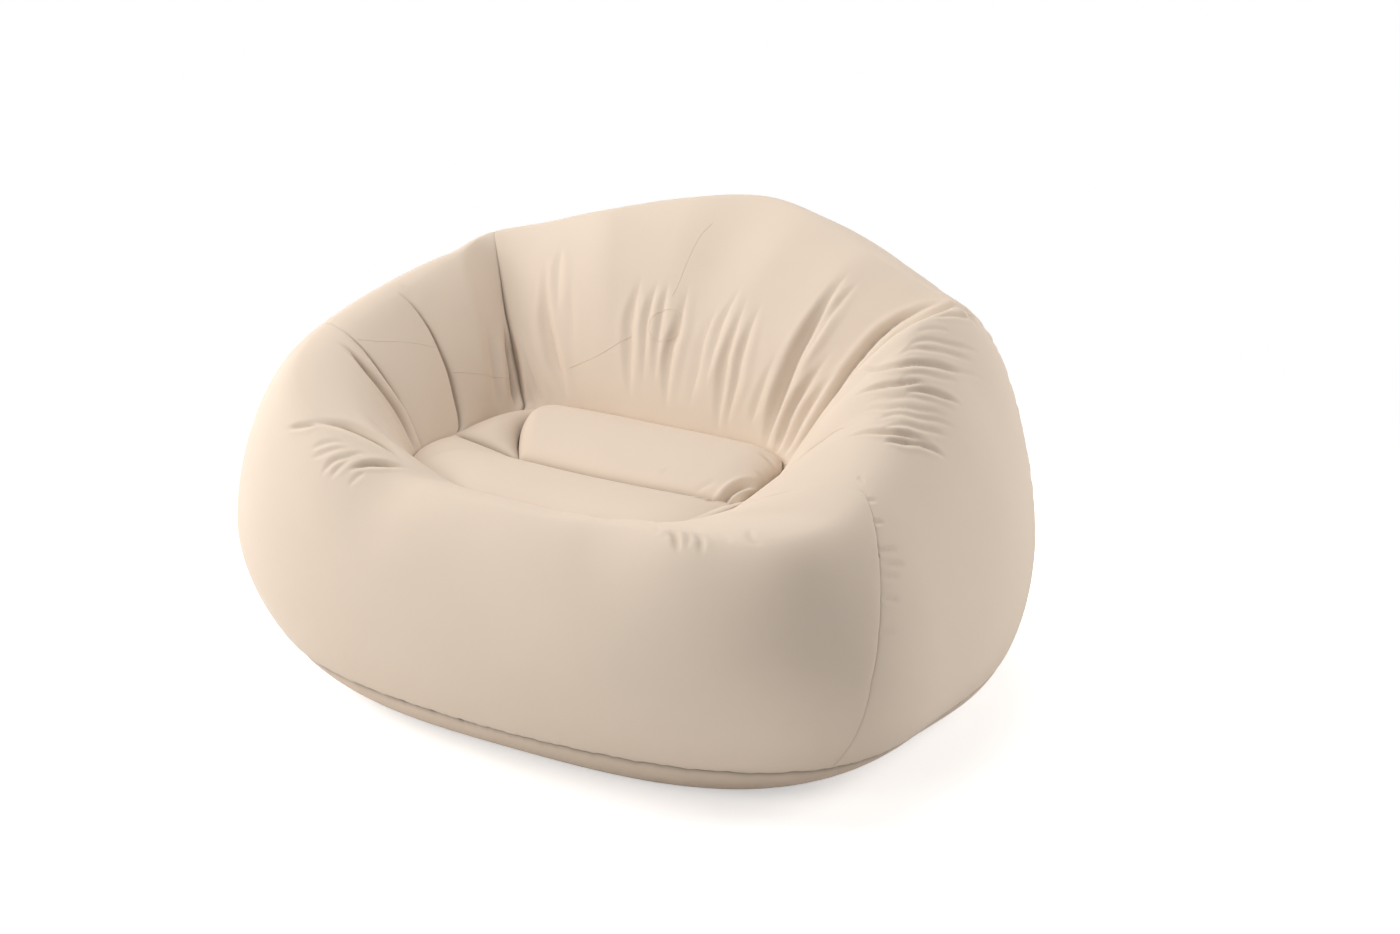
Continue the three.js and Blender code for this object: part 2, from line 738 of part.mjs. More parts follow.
const flockedVinyl = vinyl(0xecdac6, 0.92);
const baseVinyl = vinyl(0xd9c6b0, 0.7);
const webVinyl = vinyl(0xe9e4dc, 0.6);
const valvePlastic = vinyl(0xd8cab8, 0.45);
const flapRubber = vinyl(0x6e675f, 0.7);

const chair = new THREE.Group();

function addPiece(parent, name, geometry, material) {
  const mesh = new THREE.Mesh(geometry, material);
  mesh.name = name;
  parent.add(mesh);
}

for (const [name, faces] of Object.entries(panelFaces)) {
  const geometry = name === 'back_panel' ? backPanelGeometry() : panelGeometry(faces);
  addPiece(chair, name, geometry, name === 'base_panel' ? baseVinyl : flockedVinyl);
}

const webColumns = { front_web: folds[1].column, arm_web: folds[2].column, back_web: folds[4].column };
for (const [name, column] of Object.entries(webColumns)) {
  addPiece(chair, `${name}_left`, webGeometry(column), webVinyl);
  addPiece(chair, `${name}_right`, webGeometry(columns - column), webVinyl);
}

addPiece(chair, 'seat_beam_front', beamGeometry(0), webVinyl);
addPiece(chair, 'seat_beam_middle', beamGeometry(frontChannelSteps), webVinyl);
addPiece(chair, 'seat_beam_rear', beamGeometry(seatLineSteps), webVinyl);

const valve = new THREE.Group();
valve.applyMatrix4(valveAxes);
addPiece(valve, 'valve_collar', toGeometry(collarSolid()), valvePlastic);
addPiece(valve, 'valve_insert', toGeometry(insertSolid()), valvePlastic);
addPiece(valve, 'valve_flap', toGeometry(flapSolid()), flapRubber);
addPiece(valve, 'valve_cap', toGeometry(capSolid()), valvePlastic);
chair.add(valve);

export default chair;
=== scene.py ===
import bmesh
import bpy
import numpy as np
from mathutils import Matrix, Vector


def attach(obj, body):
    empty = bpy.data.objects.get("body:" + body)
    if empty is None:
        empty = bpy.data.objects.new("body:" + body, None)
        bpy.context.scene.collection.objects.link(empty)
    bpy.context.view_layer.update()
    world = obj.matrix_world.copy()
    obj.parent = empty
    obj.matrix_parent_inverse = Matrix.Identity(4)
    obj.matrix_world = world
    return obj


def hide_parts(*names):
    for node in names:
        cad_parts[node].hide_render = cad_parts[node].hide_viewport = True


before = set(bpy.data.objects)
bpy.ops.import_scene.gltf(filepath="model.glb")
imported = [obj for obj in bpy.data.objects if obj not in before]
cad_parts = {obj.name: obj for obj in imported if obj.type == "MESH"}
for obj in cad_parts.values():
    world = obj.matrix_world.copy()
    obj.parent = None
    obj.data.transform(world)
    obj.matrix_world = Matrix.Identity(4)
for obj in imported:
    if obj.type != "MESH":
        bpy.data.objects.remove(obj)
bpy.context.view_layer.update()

# Front panel: one sheet of flocked vinyl from the foot weld over the front roll and down to the seat.
# The whole skin shares one form, in millimetres: columns run round the chair, and sections run from
# the floor (0) over the bulge (1) and the crest (2) to the edge of the seat well (3).
CHAIR_WIDTH, FRONT_REACH, BACK_REACH = 1070.0, 312.0, 590.0
WELL_WIDTH, WELL_FRONT_REACH, WELL_REAR_REACH = 480.0, 178.0, 163.0
WELL_CENTRE_Y = FRONT_REACH - (FRONT_REACH + BACK_REACH) / 2
FRONT_COLUMN, CORNER_COLUMN, BACK_COLUMN = 8, 22, 30
ALL_COLUMNS = 2 * BACK_COLUMN
FRONT_ANGLE, FRONT_CREST_ANGLE, CORNER_ANGLE = 71.0, 77.0, 128.0
OUTLINE_EXPONENTS, WELL_EXPONENTS = (2.8, 2.65), (4, 4)
UNDER_EXPONENT, OVER_EXPONENT = 1.85, 1.7
CORNER_ROLL, CORNER_ROLL_COLUMNS, CORNER_ROLL_SECTION, CORNER_ROLL_SPREAD = 13, 3.4, 2.32, 0.26
SEAM_HEIGHT, SEAM_WAVES = 62.0, ((0.7, 5.3, 0), (0.6, 11.9, 1), (0.4, 23.1, 0))
# The foot weld: the depth of its groove, its spread in sections, and the strength of the shade painted along
# it.
FOOT_GROOVE, FOOT_GROOVE_SPAN, FOOT_PAINTED_SHADE = 4.0, 0.012, 1.2
SHEET_THICKNESS, WAVE_HEIGHT = 0.6, 0.4


def station_curve(*stations):
    """A smooth curve through stations, which never overshoots them."""
    at, value = np.array(stations, float).T
    slope = np.diff(value) / np.diff(at)
    tangent = np.zeros(len(value))
    for i in range(1, len(value) - 1):
        if slope[i - 1] * slope[i] > 0:
            tangent[i] = 2 * slope[i - 1] * slope[i] / (slope[i - 1] + slope[i])

    def curve(place):
        place = np.clip(place, at[0], at[-1])
        k = np.clip(np.searchsorted(at, place, side="right") - 1, 0, len(at) - 2)
        span = at[k + 1] - at[k]
        t = (place - at[k]) / span
        ends = (1 + 2 * t) * (1 - t) ** 2 * value[k] + t * t * (3 - 2 * t) * value[k + 1]
        return ends + t * (1 - t) * span * ((1 - t) * tangent[k] - t * tangent[k + 1])

    return curve


# Heights and reaches by the angle round the chair, from the front middle (0) to the back middle (180).
crest_height = station_curve((0, 360), (35, 360), (54, 402), (72, 464), (92, 509), (116, 536),
                             (CORNER_ANGLE, 546), (150, 592), (180, 622))
crest_reach = station_curve((0, 235), (30, 261), (50, 340), (70, 415), (92, 393), (116, 412),
                            (CORNER_ANGLE, 477), (139, 434), (150, 404), (165, 403), (180, 420))
bulge_height = station_curve((0, 180), (60, 228), (90, 183), (130, 209), (180, 250))
well_height = station_curve((0, 338), (60, 345), (180, 345))
foot_share = station_curve((0, 0.56), (45, 0.59), (90, 0.65), (130, 0.84), (180, 0.76))
inner_exponent = station_curve((0, 2.0), (45, 1.55), (90, 1.15), (130, 1.3), (180, 1.35))

# The left arm has settled lower at its front than the right one.
left_settling = station_curve((0, 0), (15, 0), (35, 4), (50, -16), (62, -48), (76, -74), (90, -68),
                              (102, -44), (112, -8), (120, 10), (CORNER_ANGLE, 3), (150, 0), (180, 0))
left_spread = station_curve((0, 0), (30, 0), (50, 5), (62, 14), (76, 23), (90, 16), (102, 8), (112, 1),
                            (CORNER_ANGLE, 0), (180, 0))

# The crests of the arms are rounded over by air, over this span of sections to each side. Rounding
# takes height off, and the arm is lifted to make up for it.
crest_rounding = station_curve((0, 0), (30, 0.1), (48, 0.24), (72, 0.34), (102, 0.3), (118, 0.14),
                                (CORNER_ANGLE, 0), (180, 0))
ROUNDING_LIFT, ROUNDING_SECTION, ROUNDING_SPREAD = 33, 2.08, 0.38

# The welds by section: their column, and how deep the lobes on both sides meet in them.
front_seam = station_curve((0, 8.1), (0.94, 8.3), (1.14, 8.55), (1.36, 8.9), (1.58, 9.25), (1.73, 9.45),
                           (1.88, 9.6), (2.08, 9.4), (2.22, 9.55), (2.34, 9.95), (2.5, 10.6), (2.6, 11.0),
                           (2.8, 11.4), (3, 11.5))
arm_seam = station_curve((0, 13.8), (2.06, 13.9), (2.24, 14.6), (2.36, 15.22), (2.46, 15.65), (2.65, 16.07),
                         (2.77, 16.05), (2.91, 15.77), (3, 15.4))
corner_seam = station_curve((0, 22), (1.85, 21.9), (2.29, 21.57), (2.5, 21.38), (2.88, 21.38), (3, 21.1))
front_lobe = station_curve((0, 0), (2.2, 0), (2.5, 5), (2.8, 2), (3, 0))
arm_lobe = station_curve((0, 0), (2.02, 0), (2.35, 7), (2.7, 9), (3, 0))
corner_lobe = station_curve((0, 0), (2.06, 0), (2.4, 12), (2.8, 13), (3, 0))
DRAWN_WELDS = ((front_seam, front_lobe, 2.4), (arm_seam, arm_lobe, 2.8), (corner_seam, corner_lobe, 3.2))


def plan_direction(angle):
    return np.stack([np.sin(np.radians(angle)), -np.cos(np.radians(angle))], -1)


def smoothstep(share):
    share = np.clip(share, 0, 1)
    return share * share * (3 - 2 * share)


def ramp(value, start, run):
    return np.clip((value - start) / run, 0, 1)


def hump(value, middle, spread):
    return np.exp(-(((value - middle) / spread) ** 2))


def outline_reach(angle, half_width, front, back, front_exponent, back_exponent):
    d = plan_direction(angle)
    exponent = front_exponent + (back_exponent - front_exponent) * smoothstep(0.5 + d[..., 1])
    along = np.abs(d[..., 1]) / np.where(d[..., 1] < 0, front, back)
    return ((np.abs(d[..., 0]) / half_width) ** exponent + along ** exponent) ** (-1 / exponent)


def column_angle(column, front, corner):
    columns = [0, FRONT_COLUMN, CORNER_COLUMN, BACK_COLUMN]
    return np.interp(column, columns, [0, front, corner, 180])


def half_column(column):
    wrapped = np.mod(column, ALL_COLUMNS)
    mirrored = wrapped > BACK_COLUMN
    return np.where(mirrored, ALL_COLUMNS - wrapped, wrapped), np.where(mirrored, -1.0, 1.0)


def well_plan(column):
    front_corner = np.degrees(np.arctan2(WELL_WIDTH / 2, WELL_FRONT_REACH))
    rear_corner = 180 - np.degrees(np.arctan2(WELL_WIDTH / 2, WELL_REAR_REACH))
    angle = column_angle(column, front_corner, rear_corner)
    reach = outline_reach(angle, WELL_WIDTH / 2, WELL_FRONT_REACH, WELL_REAR_REACH, *WELL_EXPONENTS)
    return reach[..., None] * plan_direction(angle), well_height(angle)


def quarter(share, exponent):
    turn = np.clip(share, 0, 1) * np.pi / 2
    return np.clip(np.cos(turn), 0, 1) ** (2 / exponent), np.clip(np.sin(turn), 0, 1) ** (2 / exponent)


def joined(plan, height):
    return np.concatenate([plan, height[..., None]], -1)


def raw_skin(column, section):
    column, section = np.broadcast_arrays(np.asarray(column, float), np.asarray(section, float))
    half, side = half_column(column)
    left = side > 0
    outer_angle = column_angle(half, FRONT_ANGLE, CORNER_ANGLE)
    crest_angle = column_angle(half, FRONT_CREST_ANGLE, CORNER_ANGLE)
    reach = outline_reach(outer_angle, CHAIR_WIDTH / 2, FRONT_REACH, BACK_REACH, *OUTLINE_EXPONENTS)
    bulge = reach[..., None] * plan_direction(outer_angle)
    foot = bulge * foot_share(outer_angle)[..., None]
    reach = crest_reach(crest_angle) + left_spread(crest_angle) * left
    crest = reach[..., None] * plan_direction(crest_angle)
    low = bulge_height(outer_angle)
    lift = np.where(left, left_settling(crest_angle), ROUNDING_LIFT * crest_rounding(crest_angle))
    high = crest_height(crest_angle) + lift
    well, edge = well_plan(half)
    leaving, rising = quarter(section, UNDER_EXPONENT)
    under = joined(foot + (bulge - foot) * rising[..., None], low * (1 - leaving))
    leaving, rising = quarter(section - 1, OVER_EXPONENT)
    over = joined(crest + (bulge - crest) * leaving[..., None], low + (high - low) * rising)
    leaving, rising = quarter(section - 2, inner_exponent(crest_angle))
    inner = joined(crest + (well - crest) * rising[..., None], edge + (high - edge) * leaving)
    point = np.where((section <= 1)[..., None], under, np.where((section <= 2)[..., None], over, inner))
    outward = point - joined((bulge + well) / 2, low)
    outward /= np.linalg.norm(outward, axis=-1, keepdims=True)
    for seam, lobe, span in DRAWN_WELDS:
        near = np.clip(1 - np.abs(half - seam(section)) / span, 0, 1)
        point = point - outward * (lobe(section) * near * near)[..., None]
    from_corner = ramp(corner_seam(section), half, CORNER_ROLL_COLUMNS)
    roll = CORNER_ROLL * np.sin(np.pi * np.sqrt(from_corner)) * left
    roll = roll * hump(section, CORNER_ROLL_SECTION, CORNER_ROLL_SPREAD)
    point = point + outward * roll[..., None]
    point[..., 0] *= side
    point[..., 1] += WELL_CENTRE_Y
    return point


def plain_skin(column, section):
    """The skin with the crests of the arms rounded over, each point averaged with those beside it."""
    column, section = np.broadcast_arrays(np.asarray(column, float), np.asarray(section, float))
    crest_angle = column_angle(half_column(column)[0], FRONT_CREST_ANGLE, CORNER_ANGLE)
    span = crest_rounding(crest_angle) * hump(section, ROUNDING_SECTION, ROUNDING_SPREAD)
    point, round_here = raw_skin(column, section), span > 1e-3
    if round_here.any():
        at, along, reach = column[round_here], section[round_here], span[round_here]
        steps = ((-1, 1 / 16), (-0.5, 4 / 16), (0.5, 4 / 16), (1, 1 / 16))
        beside = sum(weight * raw_skin(at, np.clip(along + step * reach, 0, 3)) for step, weight in steps)
        point[round_here] = beside + point[round_here] * 6 / 16
    return point


def section_at_height(height, bulge):
    """The section under the bulge at which the wall has a height."""
    return np.arccos((1 - height / bulge) ** (UNDER_EXPONENT / 2)) / (np.pi / 2)


# The wall is flat under the valve and eases back to its own curve round it.
VALVE_HEIGHT, PAD_HALF_WIDTH, PAD_HALF_HEIGHT = 150.0, 95.0, 52.0
valve_section = section_at_height(VALVE_HEIGHT, bulge_height(180))
valve_centre = plain_skin(BACK_COLUMN, valve_section)
wall_up = plain_skin(BACK_COLUMN, valve_section + 0.02) - plain_skin(BACK_COLUMN, valve_section - 0.02)
wall_up /= np.linalg.norm(wall_up)
wall_out = np.cross(wall_up, [1.0, 0.0, 0.0])


def valve_hold(point, section):
    """How firmly the wall is held flat: 1 under the valve, 0 well away from it."""
    offset = point - valve_centre
    distance = np.hypot(offset[..., 0] / PAD_HALF_WIDTH, offset @ wall_up / PAD_HALF_HEIGHT)
    on_wall = (point[..., 1] > 0) & (np.broadcast_to(section, distance.shape) < 2)
    return (1 - smoothstep(distance - 1)) * on_wall


def skin(column, section):
    point = plain_skin(column, section)
    lift = (point - valve_centre) @ wall_out * valve_hold(point, section)
    return point - lift[..., None] * wall_out


def skin_normal(column, section):
    across = skin(column + 0.04, section) - skin(column - 0.04, section)
    low, high = np.maximum(section - 0.01, 0.02), np.minimum(section + 0.01, 2.985)
    normal = np.cross(across, skin(column, high) - skin(column, low))
    return normal / np.linalg.norm(normal, axis=-1, keepdims=True)


def seam_section(column):
    """The section of the foot weld, which wanders a little."""
    wander = sum(reach * np.sin(column * turns + start) for reach, turns, start in SEAM_WAVES)
    bulge = bulge_height(column_angle(half_column(column)[0], FRONT_ANGLE, CORNER_ANGLE))
    return section_at_height(SEAM_HEIGHT + wander, bulge)


def smooth_line(places):
    """A smooth line through places, given in pairs, with twelve short steps between each two."""
    places = np.reshape(places, (-1, 2)).astype(float)
    t = np.linspace(0, len(places) - 1, 12 * (len(places) - 1) + 1)
    padded = np.concatenate([[2 * places[0] - places[1]], places, [2 * places[-1] - places[-2]]])
    i = np.clip(t.astype(int), 0, len(places) - 2)
    u = (t - i)[:, None]
    a, b, c, d = padded[i], padded[i + 1], padded[i + 2], padded[i + 3]
    return 0.5 * (2 * b + (c - a) * u + (2 * a - 5 * b + 4 * c - d) * u**2 + (3 * b - a - 3 * c + d) * u**3)


# The form of every fold: its cross-section in half widths, its ends, its sharp crease and the shade painted
# on it.
SHOULDER_PLACE, SHOULDER_SPREAD, SHOULDER_HEIGHT, VALLEY_POWER = 2.2, 1.1, 0.3, 1.4
FOLD_FADE, TIP_WIDTH, CREASE_SPREAD, PAINTED_SHADE_SPREAD, FULL_CREASE = 0.38, 0.55, 2.2, 2, 3.5


def fold_profile(s, width, shoulder_spread):
    """The height across a fold one millimetre deep: a valley between two low shoulders."""
    shoulder = hump(s, SHOULDER_PLACE * width, shoulder_spread * width)
    return SHOULDER_HEIGHT * shoulder - np.exp(-((s / width) ** VALLEY_POWER))


def press_fold(height, painted_crease_shade, column, section, point, normal, fold):
    """One fold along a line: its middle is pressed in, its shoulders stand proud, one of them more."""
    places, depth, width, lean, crease = fold
    line = smooth_line(places)
    path = skin(line[:, 0], line[:, 1])
    low, high = path.min(0) - 5 * width, path.max(0) + 5 * width
    near = np.all((point > low) & (point < high), -1)
    near &= np.abs(np.mod(column - line[:, 0].mean() + BACK_COLUMN, ALL_COLUMNS) - BACK_COLUMN) < 9
    near &= (section > line[:, 1].min() - 0.5) & (section < line[:, 1].max() + 0.5)
    if not near.any():
        return
    p, n = point[near], normal[near]
    start, step = path[:-1], np.diff(path, axis=0)
    t = np.clip(((p[:, None] - start) * step).sum(-1) / (step**2).sum(-1), 0, 1)
    gap = p[:, None] - (start + t[..., None] * step)
    distance = np.linalg.norm(gap, axis=-1)
    nearest = distance.argmin(1)
    rows = np.arange(len(p))
    s = distance[rows, nearest]
    along = (nearest + t[rows, nearest]) / len(step)
    side = np.sign((np.cross(n, step[nearest]) * gap[rows, nearest]).sum(-1))
    rise = smoothstep(np.minimum(along, 1 - along) / FOLD_FADE)
    narrow = width * (TIP_WIDTH + (1 - TIP_WIDTH) * rise)
    leaning = side * (s / narrow) * np.exp(-((s / narrow) ** 2) / 2)
    profile = fold_profile(s, narrow, SHOULDER_SPREAD) + lean * leaning
    height[near] += rise * (depth * profile - crease * np.exp(-s / CREASE_SPREAD))
    # Painted shade along the crease, stronger where the crease is deeper.
    painted_shade = rise * crease / FULL_CREASE * np.exp(-s / PAINTED_SHADE_SPREAD)
    painted_crease_shade[near] = np.maximum(painted_crease_shade[near], painted_shade)


# Folds: column and section of each place in turn, then depth, half width, lean and depth of the crease.
FRONT_FOLDS = [
    ([53.9, 1.72, 54.25, 1.95, 54.33, 2.15, 54.4, 2.25, 54.55, 2.34, 54.85, 2.38, 55.3, 2.4], 5, 5.5, -0.3,
      2.6),
    ([53.75, 1.64, 54.05, 1.76, 54.3, 1.9], 3, 3.5, -0.3, 1.5),
    ([54.45, 1.67, 54.65, 1.8, 54.9, 2], 1.56, 3.5, -0.2, 0.3),
    ([54.55, 1.62, 54.78, 1.75, 55.05, 1.96], 1.56, 3.5, -0.2, 0.3),
    ([54.95, 1.58, 55, 1.71, 55.18, 1.88, 55.2, 2.1], 2.04, 3.5, -0.3, 0.8),
    ([55.15, 1.6, 55.2, 1.75, 55.3, 1.94], 1.56, 3.5, -0.2, 0.3),
    ([55.35, 1.73, 55.5, 1.89, 55.6, 2.08, 55.6, 2.32], 4.5, 4, -0.3, 2.5),
    ([55.55, 1.64, 55.65, 1.87], 1.2, 3.5, -0.2, 0.3),
    ([53, 2.42, 53.3, 2.6, 53.8, 2.75], 2.5, 8, 0.2, 0),
    ([5.3, 2.35, 4.65, 1.88], 0.96, 4, 0.3, 0),
    ([5.15, 2.2, 4.9, 1.83], 1.2, 4, 0.3, 0),
    ([5.12, 2.12, 5.15, 1.92, 5.18, 1.7], 3.6, 4, 0.6, 2),
    ([5.38, 2.05, 5.35, 1.75], 1.92, 4, 0.6, 0.5),
    ([5.55, 2.1, 5.6, 1.68], 2.7, 4, 0.6, 0.5),
    ([6.75, 2.25, 6.4, 1.99, 6.5, 1.8], 2.16, 4, 0.4, 0.5),
    ([6.2, 2.25, 5.95, 1.82], 1.08, 4, 0.3, 0),
]
RIGHT_ARM_FOLDS = [
    ([51.6, 2.12, 51.08, 2.3, 50.62, 2.44, 50.08, 2.56, 49.62, 2.67, 49.45, 2.79, 49.35, 3.05], 7.5, 5.5,
      0.3, 3.6),
    ([38.95, 2.5, 38.98, 2.7, 39.35, 2.97], 9, 8, -0.2, 3),
    ([40.35, 2.48, 40.4, 2.69, 40.55, 2.97], 3.5, 9, 0.2, 0),
    ([45.6, 2.05, 44.7, 2.3], 1.5, 7, 0.4, 0),
]
LEFT_ARM_FOLDS = [
    ([18.9, 1.99, 19.03, 1.97, 19.68, 1.86, 19.81, 1.84], 0.94, 3, -0.3, 0),
    ([22.25, 2.35, 22.1, 2.05, 21.85, 1.9, 21.2, 1.78], 7, 6, -0.3, 1.5),
    ([20.11, 2.05, 20.33, 2.02, 20.88, 1.94, 21.45, 1.86, 21.68, 1.83], 2.97, 3.9, -0.3, 0.65),
    ([17.97, 2.07, 18.23, 2.01, 18.78, 1.88, 19.25, 1.79, 19.93, 1.72, 20.42, 1.67], 2.03, 3.3, -0.4, 0.26),
    ([17.73, 2.14, 17.88, 2.06, 18.23, 1.88, 18.93, 1.76, 19.43, 1.7, 19.96, 1.64], 2.03, 3.3, -0.4, 0.26),
    ([19.88, 2.51, 18.8, 2.38, 17.62, 2.24, 17.12, 2.06, 17.35, 1.9, 17.9, 1.79, 18.4, 1.72, 18.93, 1.67,
      20.18, 1.55], 4.32, 4.2, -0.4, 1.3),
    ([16.34, 2.05, 16.55, 1.99, 17.28, 1.79, 17.85, 1.72, 18.25, 1.67], 1.22, 3, -0.3, 0),
    ([17.08, 2.39, 16.78, 2.3, 16.4, 2.19, 16.18, 2.06, 16.3, 1.94, 16.53, 1.86, 16.78, 1.77], 4.32, 3.9,
      -0.4, 1.56),
    ([15.75, 1.97, 15.95, 1.92, 16.38, 1.81, 16.8, 1.73, 17.23, 1.67, 17.57, 1.62], 4.32, 3.9, -0.4, 1.04),
    ([15.95, 2.3, 15.78, 2.2, 15.5, 2.03, 15.88, 1.84, 16.62, 1.7, 17.12, 1.61], 1.62, 3.3, -0.3, 0),
    ([15.57, 2.31, 15.33, 2.21, 14.95, 2.05, 15.25, 1.85, 16.07, 1.71, 16.62, 1.62], 1.89, 3.3, -0.3, 0.13),
    ([14.34, 2.13, 14.5, 2.05, 14.95, 1.83, 16.05, 1.67, 16.54, 1.6], 2.03, 3.3, -0.3, 0.13),
    ([13.64, 2.05, 13.88, 1.98, 14.53, 1.8, 15.25, 1.7, 15.58, 1.66, 16.06, 1.6], 2.16, 3.3, -0.3, 0.26),
    ([13.93, 2.34, 13.75, 2.24, 13.45, 2.07, 13.55, 1.92, 13.95, 1.81, 14.4, 1.74, 14.99, 1.65], 4.5, 4,
      -0.4, 1.6),
    ([12.79, 1.99, 13.03, 1.93, 13.45, 1.82, 14.15, 1.73, 14.8, 1.64, 15.21, 1.58], 4, 4, -0.4, 1.6),
    ([9.35, 1.82, 10.1, 1.74], 1.3, 3, -0.4, 0.2),
    ([9.18, 1.68, 10, 1.63], 1.5, 3, -0.4, 0.4),
    ([8.45, 1.57, 9.45, 1.53, 10.4, 1.5], 2.1, 3, -0.5, 0.4),
    ([9.03, 1.49, 10.58, 1.43], 2.1, 3, -0.4, 0.4),
    ([8.85, 1.44, 10.15, 1.4], 1.5, 3, -0.4, 0.2),
    ([8.8, 1.36, 9.83, 1.32], 1.5, 3, -0.4, 0.4),
    ([8.5, 1.23, 9.53, 1.21], 1.3, 3, -0.4, 0.2),
    ([10.4, 2.04, 10.03, 1.92], 1.2, 3, 0.3, 0.2),
    ([22.2, 2, 22.45, 2.11, 22.6, 2.2, 22.7, 2.28, 22.7, 2.36, 22.6, 2.43, 22.48, 2.5, 22.3, 2.57, 22.1,
      2.64, 21.95, 2.73, 21.9, 2.85, 21.5, 3.05], 6, 6, 0.2, 3.6),
]
BACK_FOLDS = [
    ([36.85, 2.26, 37.02, 2.43, 37.1, 2.53, 37.05, 2.6, 36.93, 2.7, 36.73, 2.79, 36.5, 2.97], 4.8, 7.2,
      0.65, 1.2),
    ([36.38, 2.24, 36.58, 2.38, 36.75, 2.55], 2, 6.4, 0.52, 0),
    ([36.15, 2.4, 36.2, 2.66], 0.8, 5.6, 0.39, 0),
    ([38.2, 2.53, 37.95, 2.73, 37.73, 2.86, 37.55, 2.98], 2.7, 5.6, 0.39, 0.3),
    ([38.3, 2.68, 38, 2.89, 37.9, 2.98], 2.1, 5, 0.39, 0),
    ([33.27, 2.42, 33.45, 2.56, 33.3, 2.67, 33, 2.86], 3.6, 7.2, 0.78, 0.3),
    ([32.5, 2.44, 32.62, 2.54, 32.6, 2.61, 32.2, 2.79], 2.6, 5.6, 0.52, 0.3),
    ([32, 2.45, 31.9, 2.58, 31.45, 2.78], 2.6, 5.6, 0.52, 0.2),
    ([31.05, 2.45, 30.83, 2.6, 30.9, 2.65, 30.75, 2.72, 30.15, 2.88], 4.8, 7.2, 0.78, 0.9),
    ([29.25, 2.5, 29.1, 2.63, 28.78, 2.72, 28.55, 2.86], 1.8, 7.2, 0.39, 0),
    ([28.5, 2.42, 28.48, 2.56, 28.28, 2.64, 27.9, 2.77], 2.4, 6.4, 0.65, 0),
    ([27.95, 2.43, 27.5, 2.61, 27.18, 2.68, 26.73, 2.76, 26.05, 2.94], 4.5, 7.2, 0.78, 0.6),
    ([27.2, 2.44, 26.68, 2.61, 26.18, 2.71, 25.65, 2.89], 3.6, 6.4, 0.65, 0.3),
    ([25.1, 2.57, 24.68, 2.73, 24.45, 2.85], 1.8, 5.6, 0.39, 0),
    ([24.95, 2.17, 24.78, 2.31, 24.58, 2.4, 24.4, 2.48, 24.25, 2.55, 23.95, 2.65, 23.68, 2.75, 23.43, 2.86,
      23.28, 2.98], 8.5, 8.4, 0.6, 2.4),
    ([24.42, 2.2, 24.3, 2.37, 24.15, 2.45, 23.85, 2.6], 2.7, 5.6, 0.52, 0.3),
    ([23.4, 2.46, 23.2, 2.63, 23.1, 2.71, 22.8, 2.85, 22.65, 2.98], 4.8, 6.4, 0.52, 1.2),
    ([22.8, 2.5, 22.6, 2.68, 22.4, 2.8, 22.15, 2.97], 4.2, 6.4, 0.52, 0.9),
]

# Out of the photograph's sight each weld carries short gathers of its own, set by a fixed seed.
gathers = np.random.default_rng(7)


def seam_gathers(seam, first, last, count, half_length, depth):
    folds = []
    for share in np.linspace(0, 1, count):
        middle = first + (last - first) * (share + gathers.uniform(-0.4, 0.4) / count)
        left, right = gathers.uniform(0.35, 1.0, 2) * half_length
        tilt = gathers.uniform(-0.02, 0.02)
        places = [seam - left, middle - tilt, seam + right, middle + tilt]
        own_depth, width = depth * gathers.uniform(0.4, 1.0), gathers.uniform(4.5, 7)
        folds.append((places, own_depth, width, gathers.uniform(-0.4, 0.4), 0.3))
    return folds


HIDDEN_FOLDS = (seam_gathers(51, 0.7, 1.7, 13, 1.1, 2.0)
                + seam_gathers(CORNER_COLUMN, 0.6, 1.75, 16, 1.0, 2.6)
                + seam_gathers(ALL_COLUMNS - CORNER_COLUMN, 0.6, 1.85, 18, 1.0, 2.6))
ALL_FOLDS = FRONT_FOLDS + RIGHT_ARM_FOLDS + LEFT_ARM_FOLDS + BACK_FOLDS + HIDDEN_FOLDS

# The groove of each weld: its depth outside, inside and low inside, and the section where it starts.
GROOVES = ((front_seam, 0.9, 3.4, 0.8, 0), (arm_seam, 0, 4.2, 4.2, 2.05), (corner_seam, 0.6, 4.2, 4.2, 0))
INSIDE_START, INSIDE_RUN, LOW_START, LOW_RUN, FULL_GROOVE = 2.1, 0.35, 2.5, 0.15, 4.2
LOST_SECTION, LOST_SPREAD, LOST_COLUMNS = 2.2, 0.36, 18
SEAM_PLACES = np.linspace(0, 3, 91)


def column_width(seam):
    """How wide a column is along a weld, in millimetres."""
    across = skin(seam(SEAM_PLACES) + 0.5, SEAM_PLACES) - skin(seam(SEAM_PLACES) - 0.5, SEAM_PLACES)
    return np.linalg.norm(across, axis=-1)


seam_spacing = {seam: column_width(seam) for seam in (front_seam, arm_seam, corner_seam)}


def weld_grooves(column, section):
    """The sharp line of each weld, finer on the outer walls and lost in the crest of the left arm."""
    half, side = half_column(column)
    lost = np.exp(-(((section - LOST_SECTION) / LOST_SPREAD) ** 4)) * (side > 0) * (half < LOST_COLUMNS)
    depth, painted_shade = 0, 0
    for seam, outer, inner, low, first in GROOVES:
        s = np.abs(half - seam(section)) * np.interp(section, SEAM_PLACES, seam_spacing[seam])
        inner = inner + (low - inner) * ramp(section, LOW_START, LOW_RUN)
        amount = outer + (inner - outer) * ramp(section, INSIDE_START, INSIDE_RUN)
        amount = amount * ramp(section, first, 0.1)
        depth = depth + amount * (np.exp(-((s / 1.9) ** 1.1)) + 0.4 * hump(s, 0, 8))
        # Painted shade along the weld line, stronger where its groove is deeper.
        painted_shade = painted_shade + amount / FULL_GROOVE * np.exp(-s / 1.5)
    return -depth * (1 - lost), painted_shade * (1 - lost)


